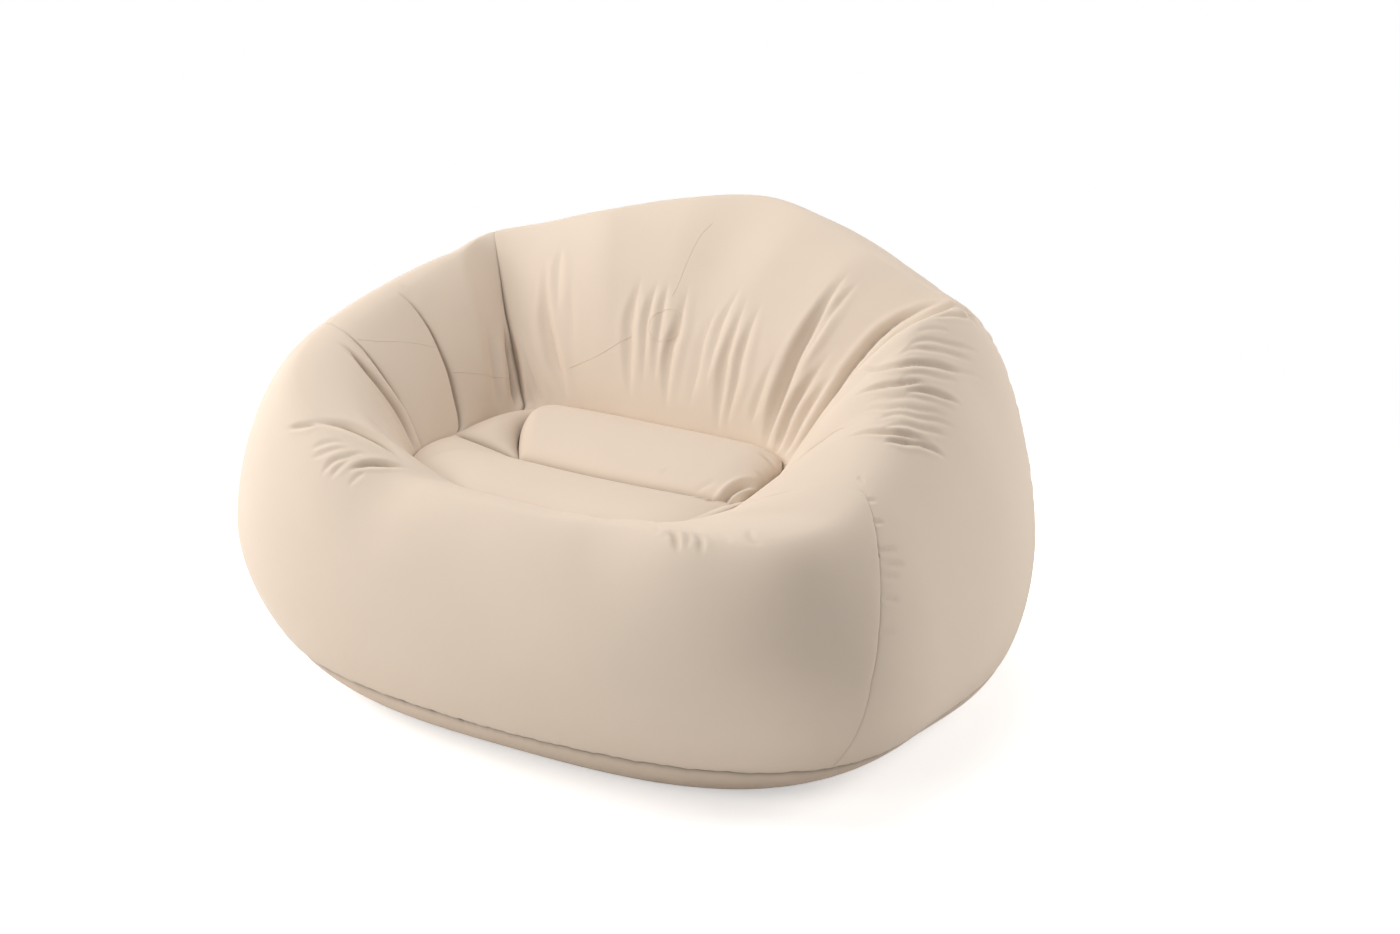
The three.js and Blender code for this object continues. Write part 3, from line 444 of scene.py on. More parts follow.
def soft_waves(point):
    """The sheet is never quite even: slow waves a fraction of a millimetre high."""
    x, y, z = point[..., 0], point[..., 1], point[..., 2]
    across = np.sin(x / 41 + np.sin(y / 67) * 1.7 + z / 53)
    return WAVE_HEIGHT * (across + np.sin(y / 37 - z / 44 + np.sin(x / 59) * 1.3))


def folded_skin(column, section):
    """The skin with its welds and folds, and shade from 0 to 1 painted along the sharp creases."""
    point, normal = skin(column, section), skin_normal(column, section)
    height, painted_shade = weld_grooves(column, section)
    height = height + soft_waves(point)
    for fold in ALL_FOLDS:
        press_fold(height, painted_shade, column, section, point, normal, fold)
    from_foot = section - seam_section(column)
    foot_line = np.exp(-np.abs(from_foot) / FOOT_GROOVE_SPAN)
    height *= ramp(from_foot, 0, 0.06) * ramp(3 - section, 0, 0.03)
    height -= FOOT_GROOVE * foot_line
    height *= 1 - valve_hold(point, section)
    # The foot weld's line is painted darker as well as grooved.
    return point + normal * height[..., None], np.clip(np.maximum(painted_shade, FOOT_PAINTED_SHADE * foot_line), 0, 1)


def grid_faces(rows, columns, rows_close=False, columns_close=False):
    """Four-sided faces over a grid of points, which may close on itself either way."""
    row, column = np.arange(rows - 1 + rows_close)[:, None], np.arange(columns - 1 + columns_close)
    here, there, on = row * columns, (row + 1) % rows * columns, (column + 1) % columns
    return np.stack([here + column, here + on, there + on, there + column], -1).reshape(-1, 4)


def new_object(name, data):
    piece = bpy.data.objects.new(name, data)
    bpy.context.scene.collection.objects.link(piece)
    return piece


def mesh_piece(name, points, faces, painted_shades=None):
    """A smooth-shaded mesh from millimetre points and four-sided faces, with shade painted in its creases."""
    mesh = bpy.data.meshes.new(name)
    mesh.vertices.add(len(points))
    mesh.vertices.foreach_set("co", (points / 1000).astype(np.float32).reshape(-1))
    mesh.loops.add(faces.size)
    mesh.loops.foreach_set("vertex_index", faces.reshape(-1).astype(np.int32))
    mesh.polygons.add(len(faces))
    mesh.polygons.foreach_set("loop_start", np.arange(0, faces.size, faces.shape[1], dtype=np.int32))
    mesh.update(calc_edges=True)
    if painted_shades is not None:
        crease = mesh.attributes.new("crease", "FLOAT", "POINT")
        crease.data.foreach_set("value", painted_shades.astype(np.float32).reshape(-1))
    mesh.validate()
    mesh.shade_smooth()
    return new_object(name, mesh)


def edit_mesh(piece, change):
    """Puts a piece's mesh through a function that changes it as a bmesh."""
    bm = bmesh.new()
    bm.from_mesh(piece.data)
    change(bm)
    bm.to_mesh(piece.data)
    bm.free()


def weld_doubles(piece, distance):
    edit_mesh(piece, lambda bm: bmesh.ops.remove_doubles(bm, verts=bm.verts, dist=distance))


def give_thickness(piece):
    solid = piece.modifiers.new("sheet", "SOLIDIFY")
    solid.thickness = SHEET_THICKNESS / 1000
    solid.offset = -1
    solid.use_even_offset = False


# Rows of a panel: close over the foot weld, then evenly up to this section, then closer to the well.
FOOT_ROWS, OUTER_ROWS_END = (0, 0.005, 0.012, 0.022, 0.04), 1.6
# Columns of a panel lie closer together beside a weld, at these shares of their run.
WELD_SHARES = np.array([0, 0.004, 0.01, 0.018, 0.027, 0.037, 0.048, 0.059, 0.07, 0.08])
LOW_SECTION = 0.4


def panel_sections(low, outer_steps, inner_steps):
    foot = low + np.array(FOOT_ROWS)[:, None]
    outer = foot[-1] + (OUTER_ROWS_END - foot[-1]) * np.linspace(0, 1, outer_steps)[1:, None]
    inner = OUTER_ROWS_END + (3 - OUTER_ROWS_END) * np.linspace(0, 1, inner_steps)[1:, None] + 0 * low
    return np.concatenate([foot, outer, inner])


def as_line(edge):
    """The column of an edge by section, from a weld's own line or from one column."""
    return edge if callable(edge) else lambda section: edge + 0 * section


def run_of_columns(first, last, count):
    """The two edges of a run, and the shares of its columns between them."""
    start, end = WELD_SHARES[-1] * callable(first), 1 - WELD_SHARES[-1] * callable(last)
    shares = np.linspace(start, end, count)
    if callable(first):
        shares = np.concatenate([WELD_SHARES[:-1], shares])
    if callable(last):
        shares = np.concatenate([shares, 1 - WELD_SHARES[:-1][::-1]])
    return as_line(first), as_line(last), shares


def panel_piece(name, runs, outer_steps, inner_steps):
    """A panel over runs of columns, each given by its first and last edge and its count."""
    runs = [run_of_columns(*run) for run in runs]
    low = np.concatenate([first(LOW_SECTION) + (last(LOW_SECTION) - first(LOW_SECTION)) * shares
                          for first, last, shares in runs])
    section = panel_sections(seam_section(low), outer_steps, inner_steps)
    parts = np.split(section, np.cumsum([len(shares) for *_, shares in runs])[:-1], axis=1)
    columns = np.concatenate([first(own) + (last(own) - first(own)) * shares
                              for (first, last, shares), own in zip(runs, parts)], axis=1)
    keep = np.concatenate([[True], np.abs(np.diff(columns[0])) > 1e-9])
    columns, section = columns[:, keep], section[:, keep]
    points, painted_shades = folded_skin(columns, section)
    return mesh_piece(name, points.reshape(-1, 3), grid_faces(*section.shape), painted_shades)


def mirrored(seam):
    return lambda section: ALL_COLUMNS - seam(section)


def before_zero(seam):
    return lambda section: -seam(section)


def node_group(name, kind, inputs, outputs):
    """A node group with its sockets by name and kind, and the outputs of its input node."""
    group = bpy.data.node_groups.new(name, kind)
    for way, sockets in (("INPUT", inputs), ("OUTPUT", outputs)):
        for socket_name, socket_kind in sockets.items():
            group.interface.new_socket(socket_name, in_out=way, socket_type="NodeSocket" + socket_kind)
    return group, group.nodes.new("NodeGroupInput").outputs


def set_inputs(tree, node, inputs):
    """Gives each input a value, or links it where a socket or another node is given."""
    for key, value in inputs.items():
        if isinstance(value, bpy.types.Node):
            value = value.outputs[0]
        if isinstance(value, bpy.types.NodeSocket):
            tree.links.new(value, node.inputs[key])
        else:
            node.inputs[key].default_value = value


def add_node(tree, kind, inputs, **settings):
    node = tree.nodes.new(kind)
    for setting, value in settings.items():
        setattr(node, setting, value)
    set_inputs(tree, node, inputs)
    return node


# Flocked vinyl: a matt beige sheet with a short velvet pile, faintly uneven in tone. Shade is painted
# into its colour along its creases, folds and welds.
PAINTED_CREASE_SHADE = 0.45
flock, given = node_group(
    "flock_pile", "ShaderNodeTree",
    {"Pile Scale": "Float", "Pile Height": "Float", "Mottle": "Float", "Smoothest": "Float",
     "Roughest": "Float", "Colour": "Color"},
    {"Base Color": "Color", "Roughness": "Float", "Normal": "Vector"})
place = flock.nodes.new("ShaderNodeTexCoord").outputs["Object"]
pile = add_node(flock, "ShaderNodeTexNoise", {"Vector": place, "Scale": given["Pile Scale"], "Detail": 3})
cloud = add_node(flock, "ShaderNodeTexNoise", {"Vector": place, "Scale": 14, "Detail": 4})
pile, cloud = pile.outputs["Fac"], cloud.outputs["Fac"]
level = add_node(flock, "ShaderNodeMath", {0: given["Mottle"], 1: -0.5, 2: 1.0}, operation="MULTIPLY_ADD")
spread = add_node(flock, "ShaderNodeMath", {0: cloud, 1: given["Mottle"], 2: level}, operation="MULTIPLY_ADD")
tint = add_node(flock, "ShaderNodeVectorMath", {0: given["Colour"], "Scale": spread}, operation="SCALE")
# Painted shade: the colour is darkened by the crease attribute along creases, folds and welds.
crease = add_node(flock, "ShaderNodeAttribute", {}, attribute_name="crease").outputs["Fac"]
painted_crease_darkening = add_node(flock, "ShaderNodeMath", {0: crease, 1: -PAINTED_CREASE_SHADE, 2: 1.0}, operation="MULTIPLY_ADD")
shade = add_node(flock, "ShaderNodeVectorMath", {0: tint, "Scale": painted_crease_darkening}, operation="SCALE")
rough = add_node(flock, "ShaderNodeMapRange", {
    "Value": pile, "To Min": given["Smoothest"], "To Max": given["Roughest"]})
bump = add_node(flock, "ShaderNodeBump", {"Strength": 0.35, "Distance": given["Pile Height"], "Height": pile})
add_node(flock, "NodeGroupOutput", {"Base Color": shade, "Roughness": rough, "Normal": bump})


slot_materials = {}


def srgb(red, green, blue):
    return [((c / 255 + 0.055) / 1.055) ** 2.4 for c in (red, green, blue)] + [1]


def vinyl(name, colour, pile_scale, pile_height, mottle, sheen, smoothest=0.78, roughest=0.92):
    """Makes the material of a slot, kept by the slot's name."""
    material = bpy.data.materials.new(name)
    material.use_nodes = True
    tree = material.node_tree
    surface = add_node(tree, "ShaderNodeGroup", {
        "Colour": srgb(*colour), "Pile Scale": pile_scale, "Pile Height": pile_height, "Mottle": mottle,
        "Smoothest": smoothest, "Roughest": roughest}, node_tree=flock)
    set_inputs(tree, tree.nodes["Principled BSDF"], {
        "Base Color": surface.outputs["Base Color"], "Roughness": surface.outputs["Roughness"],
        "Normal": surface.outputs["Normal"], "Specular IOR Level": 0.25, "Sheen Weight": sheen,
        "Sheen Roughness": 0.45})
    slot_materials[name] = material


def place_skin(piece, node, slot="flocked_vinyl"):
    give_thickness(piece)
    piece.data.materials.append(slot_materials[slot])
    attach(piece, "chamber")
    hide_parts(node)


vinyl("flocked_vinyl", (226, 208, 189), 900, 0.0003, 0.03, 0.12)
place_skin(panel_piece("front_skin", [(before_zero(front_seam), -7.2, 70), (-7.2, -3.8, 110), (-3.8, 3.8, 90),
                                      (3.8, 7.2, 70), (7.2, front_seam, 26)], 50, 110), "front_panel")

# Arm panels: each arm is one sheet over its outer wall, crest and inner wall, welded to the front and
# back panels. A web inside draws a crease across the inner wall.
place_skin(panel_piece("left_arm_skin", [(front_seam, arm_seam, 52), (arm_seam, corner_seam, 80)], 110, 190),
           "left_arm_panel")
place_skin(panel_piece("right_arm_skin", [(mirrored(corner_seam), mirrored(arm_seam), 80),
                                          (mirrored(arm_seam), mirrored(front_seam), 52)], 60, 150),
           "right_arm_panel")

# Back panel: the widest sheet, with the valve low on its outer wall and the backrest inside. The
# backrest is gathered into upright folds above the seat. The valve's neck goes through a round hole.
HOLE_RADIUS = 16.3
back_piece = panel_piece("back_skin", [(corner_seam, 25, 75), (25, 35, 190),
                                       (35, mirrored(corner_seam), 75)], 60, 160)


def from_valve(place):
    """How far a place lies beside and above the middle of the valve."""
    offset = np.array(place) * 1000 - valve_centre
    return offset[0], offset @ wall_up


def in_hole(face):
    place = face.calc_center_median()
    return place.y > 0.3 and place.z < 0.2 and np.hypot(*from_valve(place)) < HOLE_RADIUS


def cut_hole(bm):
    """Takes out the faces in the hole and draws the edge that is left to a circle."""
    cut = [face for face in bm.faces if in_hole(face)]
    rim = {vert for face in cut for vert in face.verts}
    bmesh.ops.delete(bm, geom=cut, context="FACES")
    for vert in [v for v in rim if v.is_valid]:
        across, up = from_valve(vert.co)
        scale = HOLE_RADIUS / np.hypot(across, up)
        vert.co = Vector((valve_centre + np.array([across * scale, 0, 0]) + wall_up * up * scale) / 1000)


edit_mesh(back_piece, cut_hole)
place_skin(back_piece, "back_panel")

# Base panel: a plain sheet that lies flat on the floor and turns up to the foot weld.
# It is a smoother vinyl than the rest, without pile.
BASE_COLUMNS, FLAT_RINGS = 1080, (0.0, 0.25, 0.5, 0.75, 0.92)
well_centre = np.array([0, WELL_CENTRE_Y, 0])
base_column = np.linspace(0, ALL_COLUMNS, BASE_COLUMNS + 1)[:-1]
base_low = seam_section(base_column)
base_section = base_low * np.concatenate([np.linspace(0, 1, 12)[:-1], [0.955, 0.98, 0.99, 1]])[:, None]
base_column = np.broadcast_to(base_column, base_section.shape)
foot_line = np.exp(-np.abs(base_section - base_low) / FOOT_GROOVE_SPAN) * (base_section > 0.05)
base_normal = skin_normal(base_column, np.maximum(base_section, 0.03))
base_ring = skin(base_column, base_section) - base_normal * FOOT_GROOVE * foot_line[..., None]
flat_rings = [(base_ring[0] - well_centre) * [share, share, 1] + well_centre for share in FLAT_RINGS]
base_points = np.concatenate([np.array(flat_rings), base_ring])
# Painted shade along the foot weld at the top of the base panel.
base_painted_shade = np.zeros(base_points.shape[:2])
base_painted_shade[len(FLAT_RINGS):] = np.clip(FOOT_PAINTED_SHADE * foot_line, 0, 1)
base = mesh_piece("base_skin", base_points.reshape(-1, 3),
                  grid_faces(*base_painted_shade.shape, columns_close=True), base_painted_shade)
weld_doubles(base, 1e-6)
vinyl("base_vinyl", (222, 203, 184), 700, 0.0002, 0.04, 0.05)
place_skin(base, "base_panel", slot="base_vinyl")

# Seat: one flocked sheet across the well, drawn down by the beams into two channels, with a low
# corner sheet welded in at each end of the rear one.
SEAT_EDGE, SEAT_VALLEY, FRONT_CROWN, REAR_CROWN = 345.0, 329.0, 20.0, 28.0
SEAT_STEPS, SEAT_LINES, VALLEY_LINE = 16, 14, 7
FAR_CORNER, WELL_LENGTH = ALL_COLUMNS - CORNER_COLUMN, WELL_FRONT_REACH + WELL_REAR_REACH
GUSSET_SHARES, GUSSET_SWEEP, GUSSET_CROWN_SHARE = ((0.0625, 0.2), (0.022, 0.05)), 2, 0.2
FRONT_END_RUN, REAR_END_RUNS = 0.14, (0.05, 0.12)
SEAT_CREASE, TUCK_SPREAD, VALLEY_SPREAD, VALLEY_PAINTED_SHADE = 6, 3.5, 3, 0.75
# Folds of the seat as places in millimetres, depth and half width.
SEAT_FOLDS = [
    ([(224, -88), (208, -104), (198, -122), (192, -143), (191, -166), (194, -190)], 9, 4.6),
    ([(178, -146), (176, -165), (180, -188)], 5.5, 3.6),
    ([(196, -128), (197, -152)], 2.4, 3.4),
    ([(228, -50), (205, -39), (180, -29)], 3, 4),
    ([(232, -66), (216, -73), (198, -75)], 2.4, 3.6),
    ([(168, -118), (146, -140)], 1.6, 4),
    ([(84, -128), (92, -112)], 0.8, 3),
]


def edge_point(column):
    half, side = half_column(column)
    plan, height = well_plan(half)
    return np.stack([plan[..., 0] * side, plan[..., 1] + WELL_CENTRE_Y, height], -1)


def crossing_share(step, line):
    """How far across the seat each step lies, and the share of the gusset at that end."""
    to_valley = np.interp(line, [0, VALLEY_LINE, SEAT_LINES], [0, 1, 0])
    right, left = (least + (most - least) * to_valley**GUSSET_SWEEP for least, most in GUSSET_SHARES)
    middle = right + (1 - right - left) * (step - 1) / (SEAT_STEPS - 2)
    past = np.where(step > SEAT_STEPS - 1, 1 - (SEAT_STEPS - step) * left, middle)
    return np.where(step < 1, step * right, past), np.where(step < SEAT_STEPS / 2, right, left)


def seat_form(step, line):
    """The seat's surface, and shade from 0 to 1 painted along its sharp creases."""
    across, end = crossing_share(step, line)
    along, valley = line / SEAT_LINES, VALLEY_LINE / SEAT_LINES
    a, b = across[..., None], along[..., None]
    front, rear = edge_point(across * SEAT_STEPS - FRONT_COLUMN), edge_point(FAR_CORNER - across * SEAT_STEPS)
    near, far = edge_point(-FRONT_COLUMN - line), edge_point(FRONT_COLUMN + line)
    corners = [edge_point(np.array(float(column)))
               for column in (-FRONT_COLUMN, FRONT_COLUMN, FAR_CORNER, CORNER_COLUMN)]
    corners = (1 - b) * ((1 - a) * corners[0] + a * corners[1]) + b * ((1 - a) * corners[2] + a * corners[3])
    point = front * (1 - b) + rear * b + near * (1 - a) + far * a - corners
    in_front = line <= VALLEY_LINE
    channel = np.where(in_front, along / valley, (along - valley) / (1 - valley))
    to_valley = np.where(in_front, channel, 1 - channel)
    from_side = np.minimum(across, 1 - across)
    end_run = np.where(across < 0.5, *REAR_END_RUNS)
    channel_end = np.where(in_front, from_side / FRONT_END_RUN, (from_side - end) / end_run)
    arch = np.clip(4 * channel * (1 - channel), 0, 1)
    crown = np.where(in_front, FRONT_CROWN * arch, REAR_CROWN * arch**0.75)
    crown = crown * np.sqrt(1 - (1 - np.clip(channel_end, 0, 1)) ** 2)
    over_gusset = np.minimum(1, from_side / end)
    gusset = GUSSET_CROWN_SHARE * WELL_WIDTH * end * np.sin(np.pi * over_gusset) * np.sqrt(arch) * ~in_front
    drop = (SEAT_EDGE - SEAT_VALLEY) * to_valley * over_gusset
    tuck = np.exp(-np.abs(from_side - end) * WELL_WIDTH / TUCK_SPREAD) * ~in_front * np.sin(np.pi * channel)
    groove = np.exp(-np.abs(along - valley) * WELL_LENGTH / VALLEY_SPREAD) * ramp(from_side, 0, 0.03)
    point[..., 2] += crown + gusset - drop - SEAT_CREASE * (tuck + groove)
    # Painted shade along the tucks by the gussets and the valley groove, and below along each fold.
    painted_shade = np.maximum(tuck, VALLEY_PAINTED_SHADE * groove)
    for places, depth, width in SEAT_FOLDS:
        path = smooth_line(places)
        gap = np.linalg.norm(point[..., None, :2] - path, axis=-1)
        s, share = gap.min(-1), gap.argmin(-1) / (len(path) - 1)
        rise = ramp(np.minimum(share, 1 - share), 0, 0.3)
        point[..., 2] += depth * rise * fold_profile(s, width, 1)
        painted_shade = np.maximum(painted_shade, rise * depth / 8 * np.exp(-s / 1.6))
    return point, np.clip(painted_shade, 0, 1)


def seat_piece(name, node, areas):
    points, painted_shades, faces, count = [], [], [], 0
    for steps, lines in areas:
        step, line = np.meshgrid(steps, lines)
        surface, painted_shade = seat_form(step, line)
        points.append(surface.reshape(-1, 3))
        painted_shades.append(painted_shade.reshape(-1))
        faces.append(grid_faces(*step.shape) + count)
        count += step.size
    piece = mesh_piece(name, np.concatenate(points), np.concatenate(faces), np.concatenate(painted_shades))
    weld_doubles(piece, 1e-5)
    place_skin(piece, node)


eased = (1 - np.cos(np.linspace(0, np.pi, 76))) / 2
front_lines, rear_lines = VALLEY_LINE * eased, VALLEY_LINE + (SEAT_LINES - VALLEY_LINE) * eased
near_steps, far_steps = np.linspace(0, 1, 24), np.linspace(SEAT_STEPS - 1, SEAT_STEPS, 24)
middle_steps = 1 + (SEAT_STEPS - 2) * np.concatenate([
    np.linspace(0, 0.06, 16)[:-1], np.linspace(0.06, 0.94, 170), np.linspace(0.94, 1, 16)[1:]])
all_steps = np.concatenate([near_steps[:-1], middle_steps, far_steps[1:]])
seat_piece("seat_skin", "seat_panel", [(all_steps, front_lines), (middle_steps, rear_lines)])
seat_piece("right_gusset_skin", "seat_gusset_right", [(near_steps, rear_lines)])
seat_piece("left_gusset_skin", "seat_gusset_left", [(far_steps, rear_lines)])

# Webs: plain sheets inside the air space, welded to the inner and outer walls of one panel so that
# they can't spread. Each is welded from just below the crest to just above the bulge.
vinyl("web_vinyl", (233, 228, 220), 260, 0.00008, 0.03, 0.0, 0.45, 0.6)
WEB_COLUMNS = {"front_web": 6, "arm_web": 13, "back_web": 24}
WEB_INSIDE, WEB_OUTSIDE, WEB_POINTS, WELD_DEPTH = (2.16, 2.6), (1.55, 1.02), 90, 1.5


def inside_line(column, first, last):
    """A line up the inner face of the skin, between two sections."""
    column, section = np.full(WEB_POINTS, float(column)), np.linspace(first, last, WEB_POINTS)
    return folded_skin(column, section)[0] - skin_normal(column, section) * WELD_DEPTH


def ruled_sheet(name, first_line, second_line, steps):
    """A straight sheet between two lines, in steps across."""
    share = np.linspace(0, 1, steps + 1)[:, None, None]
    points = first_line * (1 - share) + second_line * share
    piece = mesh_piece(name + "_sheet", points.reshape(-1, 3), grid_faces(*points.shape[:2]))
    give_thickness(piece)
    piece.data.materials.append(slot_materials["web_vinyl"])
    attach(piece, "chamber")
    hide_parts(name)


for web, web_column in WEB_COLUMNS.items():
    for hand, column in (("left", web_column), ("right", ALL_COLUMNS - web_column)):
        ruled_sheet(f"{web}_{hand}", inside_line(column, *WEB_INSIDE), inside_line(column, *WEB_OUTSIDE), 16)

# Seat beams: upright sheets from the base sheet to the two creases and the valley of the seat. They
# draw the seat down into its channels, and stop short of the side walls.
BEAM_FOOT_SHARE, BEAM_FOOT_HEIGHT, BEAM_END_STEPS, BEAM_DROP, BEAM_POINTS = 0.85, 1.5, 2, 7.0, 80
for name, line in (("seat_beam_front", 0), ("seat_beam_middle", VALLEY_LINE), ("seat_beam_rear", SEAT_LINES)):
    steps = np.linspace(BEAM_END_STEPS, SEAT_STEPS - BEAM_END_STEPS, BEAM_POINTS)
    top = seat_form(steps, np.full(BEAM_POINTS, float(line)))[0] - [0, 0, BEAM_DROP]
    foot = well_centre + (top - well_centre) * [BEAM_FOOT_SHARE, BEAM_FOOT_SHARE, 0]
    ruled_sheet(name, foot + [0, 0, BEAM_FOOT_HEIGHT], top, 20)

# Weld lines: where an inner web is welded to the skin, a fine raised line shows on its outside, and a
# small round weld marks the back. Each is a bead that follows the skin along its path.
BEAD_RADIUS, BEAD_PROUD, BEAD_SPACING = 0.8, 0.5, 2.0
bead, given = node_group("weld_bead", "GeometryNodeTree",
                         {"Geometry": "Geometry", "Bead Radius": "Float", "Spacing": "Float"},
                         {"Geometry": "Geometry"})
path = add_node(bead, "GeometryNodeMeshToCurve", {"Mesh": given["Geometry"]})
even = add_node(bead, "GeometryNodeResampleCurve", {"Curve": path, "Length": given["Spacing"]}, mode="LENGTH")
ring = add_node(bead, "GeometryNodeCurvePrimitiveCircle", {"Resolution": 10, "Radius": given["Bead Radius"]})
swept = add_node(bead, "GeometryNodeCurveToMesh", {"Curve": even, "Profile Curve": ring, "Fill Caps": True})
rounded = add_node(bead, "GeometryNodeSetShadeSmooth", {"Geometry": swept})
single = add_node(bead, "GeometryNodeRealizeInstances", {"Geometry": rounded})
finish = add_node(bead, "GeometryNodeSetMaterial", {
    "Geometry": single, "Material": slot_materials["flocked_vinyl"]})
add_node(bead, "NodeGroupOutput", {"Geometry": finish})


def as_plain_mesh(piece):
    """The piece with its modifiers worked out into its mesh."""
    bpy.context.view_layer.update()
    evaluated = piece.evaluated_get(bpy.context.evaluated_depsgraph_get())
    mesh = bpy.data.meshes.new_from_object(evaluated)
    piece.modifiers.clear()
    piece.data = mesh


def weld_line(name, paths):
    points, edges, start = [], [], 0
    for places in paths:
        line = smooth_line(places)
        skin_path = folded_skin(line[:, 0], line[:, 1])[0]
        points.append(skin_path + skin_normal(line[:, 0], line[:, 1]) * (BEAD_PROUD - BEAD_RADIUS))
        edges += [(start + i, start + i + 1) for i in range(len(line) - 1)]
        start += len(line)
    mesh = bpy.data.meshes.new(name)
    mesh.from_pydata((np.concatenate(points) / 1000).tolist(), edges, [])
    piece = new_object(name, mesh)
    modifier = piece.modifiers.new("bead", "NODES")
    modifier.node_group = bead
    for socket, value in (("Bead Radius", BEAD_RADIUS), ("Spacing", BEAD_SPACING)):
        modifier[bead.interface.items_tree[socket].identifier] = value / 1000
    as_plain_mesh(piece)
    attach(piece, "chamber")


def round_weld(column, section, radius):
    """The places of a circle on the skin."""
    turn = np.linspace(0, 2 * np.pi, 25)
    wide = np.linalg.norm(skin(column + 0.5, section) - skin(column - 0.5, section))
    tall = np.linalg.norm(skin(column, section + 0.05) - skin(column, section - 0.05)) * 10
    return np.stack([column + radius * np.cos(turn) / wide, section + radius * np.sin(turn) / tall], -1)


weld_line("right_arm_weld_lines", [[(50.2, 2.26), (48.8, 2.35), (47.03, 2.42), (44.58, 2.5)],
                                   [(43.65, 2.62), (41.9, 2.68), (40.48, 2.72), (39.25, 2.75)]])
weld_line("left_arm_weld_line", [[(15.38, 2.49), (15.7, 2.45), (15.35, 2.38)]])
weld_line("back_weld_lines", [[(31.08, 2.24), (31.33, 2.3), (31.43, 2.37), (31.53, 2.46), (31.65, 2.5)],
                              [(36.43, 2.73), (34.93, 2.68), (33.43, 2.62)], round_weld(31.65, 2.59, 24)])

# Valve: a moulded collar welded to the back panel, its plug insert on a strap, a small cap on the
# insert and a one-way flap behind its bore. Heights are out of the wall, reaches along the wall.
FLANGE_FOOT, FLANGE_TOP, COLLAR_TOP, COLLAR_END = 0.3, 1.5, 4.0, -6.0
COLLAR_RADIUS, COLLAR_BORE, NECK_RADIUS = 32.0, 14.0, 16.0
INSERT_SEAT, INSERT_TOP, INSERT_END, INSERT_BORE = 4.3, 5.8, -3.7, 8.0
INSERT_RADIUS, INSERT_HINGE, POST_DEPTH, BOSS_DEPTH = 19.0, 22.0, 4, 1.6
CAP_SEAT, CAP_TOP, CAP_RADIUS, CAP_HINGE, CAP_WALL, CAP_DEPTH = 6.1, 7.9, 12.0, 14.5, 1.4, 5.3
FLAP_SEAT, FLAP_FACE, FLAP_RADIUS, FLAP_HINGE = -4.0, -4.8, 9.5, 9.8
TAB_WIDTH, TAB_THICKNESS, HALF_GAP, PLUG_CLEARANCE, SWING_CLEARANCE = 10.0, 1.2, 0.15, 0.4, 0.3
vinyl("valve_plastic", (216, 203, 186), 420, 0.00004, 0.02, 0.0, 0.3, 0.42)
vinyl("flap_rubber", (110, 103, 95), 600, 0.00005, 0.03, 0.0, 0.5, 0.65)
valve_axes = Matrix([[1, 0, 0, valve_centre[0] / 1000],
                     [0, wall_out[1], wall_up[1], valve_centre[1] / 1000],
                     [0, wall_out[2], wall_up[2], valve_centre[2] / 1000], [0, 0, 0, 1]])


def swing_radius(hinge, bore, mouth, depth):
    """How wide a plug may be at a depth below its hinge and still swing out of its bore."""
    return np.sqrt((hinge + bore - SWING_CLEARANCE) ** 2 + mouth**2 - depth**2) - hinge


def rounded_section(corners, radius):
    """A closed section with each corner rounded, except on the axis."""
    corners, rounded = [np.array(corner, float) for corner in corners], []
    for i, corner in enumerate(corners):
        before, after = corners[i - 1] - corner, corners[(i + 1) % len(corners)] - corner
        if corner[0] == 0:
            rounded.append(corner)
            continue
        first = corner + before * min(radius / np.linalg.norm(before), 0.45)
        last = corner + after * min(radius / np.linalg.norm(after), 0.45)
        for t in (0, 0.25, 0.5, 0.75, 1):
            rounded.append(first * (1 - t) ** 2 + corner * 2 * t * (1 - t) + last * t**2)
    return rounded


def groove(outer, inner, slope, top, depth):
    """The corners of a shallow ring round the top of a section."""
    return [(outer, top), (outer - slope, top - depth), (inner + slope, top - depth), (inner, top)]


def turned(name, corners, radius):
    """A round piece, from the corners of its section as radius and height."""
    reach, height = np.array(rounded_section(corners, radius)).T
    turn = np.linspace(0, 2 * np.pi, 97)[:-1, None]
    points = np.stack([reach * np.sin(turn), height + 0 * turn, reach * np.cos(turn)], -1)
    piece = mesh_piece(name, points.reshape(-1, 3), grid_faces(*points.shape[:2], True, True))
    weld_doubles(piece, 1e-7)
    return piece


def block(name, width, low, high, near, far, side):
    """A block with rounded edges, between two heights and two reaches; side 1 is up the wall."""
    bm = bmesh.new()
    bmesh.ops.create_cube(bm, size=1)
    size = Vector((width, high - low, far - near)) / 1000
    for vert in bm.verts:
        vert.co = Vector(vert.co * size) + Vector((0, (low + high) / 2, side * (near + far) / 2)) / 1000
    bmesh.ops.bevel(bm, geom=bm.edges[:], offset=0.0003, segments=2, affect="EDGES", profile=0.5)
    mesh = bpy.data.meshes.new(name)
    bm.to_mesh(mesh)
    bm.free()
    return new_object(name, mesh)


def valve_piece(body, blocks, node, rides_on, slot):
    """Joins the round body and its blocks, and puts the piece on the wall."""
    for own in (body, *blocks):
        edit_mesh(own, lambda bm: bmesh.ops.recalc_face_normals(bm, faces=bm.faces))
    for part in blocks:
        union = body.modifiers.new("join", "BOOLEAN")
        union.operation, union.solver, union.object = "UNION", "EXACT", part
    as_plain_mesh(body)
    for part in blocks:
        bpy.data.objects.remove(part)
    body.data.transform(valve_axes)
    body.data.shade_smooth()
    body.data.set_sharp_from_angle(angle=np.radians(38))
    body.data.materials.clear()
    body.data.materials.append(slot_materials[slot])
    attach(body, rides_on)
    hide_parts(node)


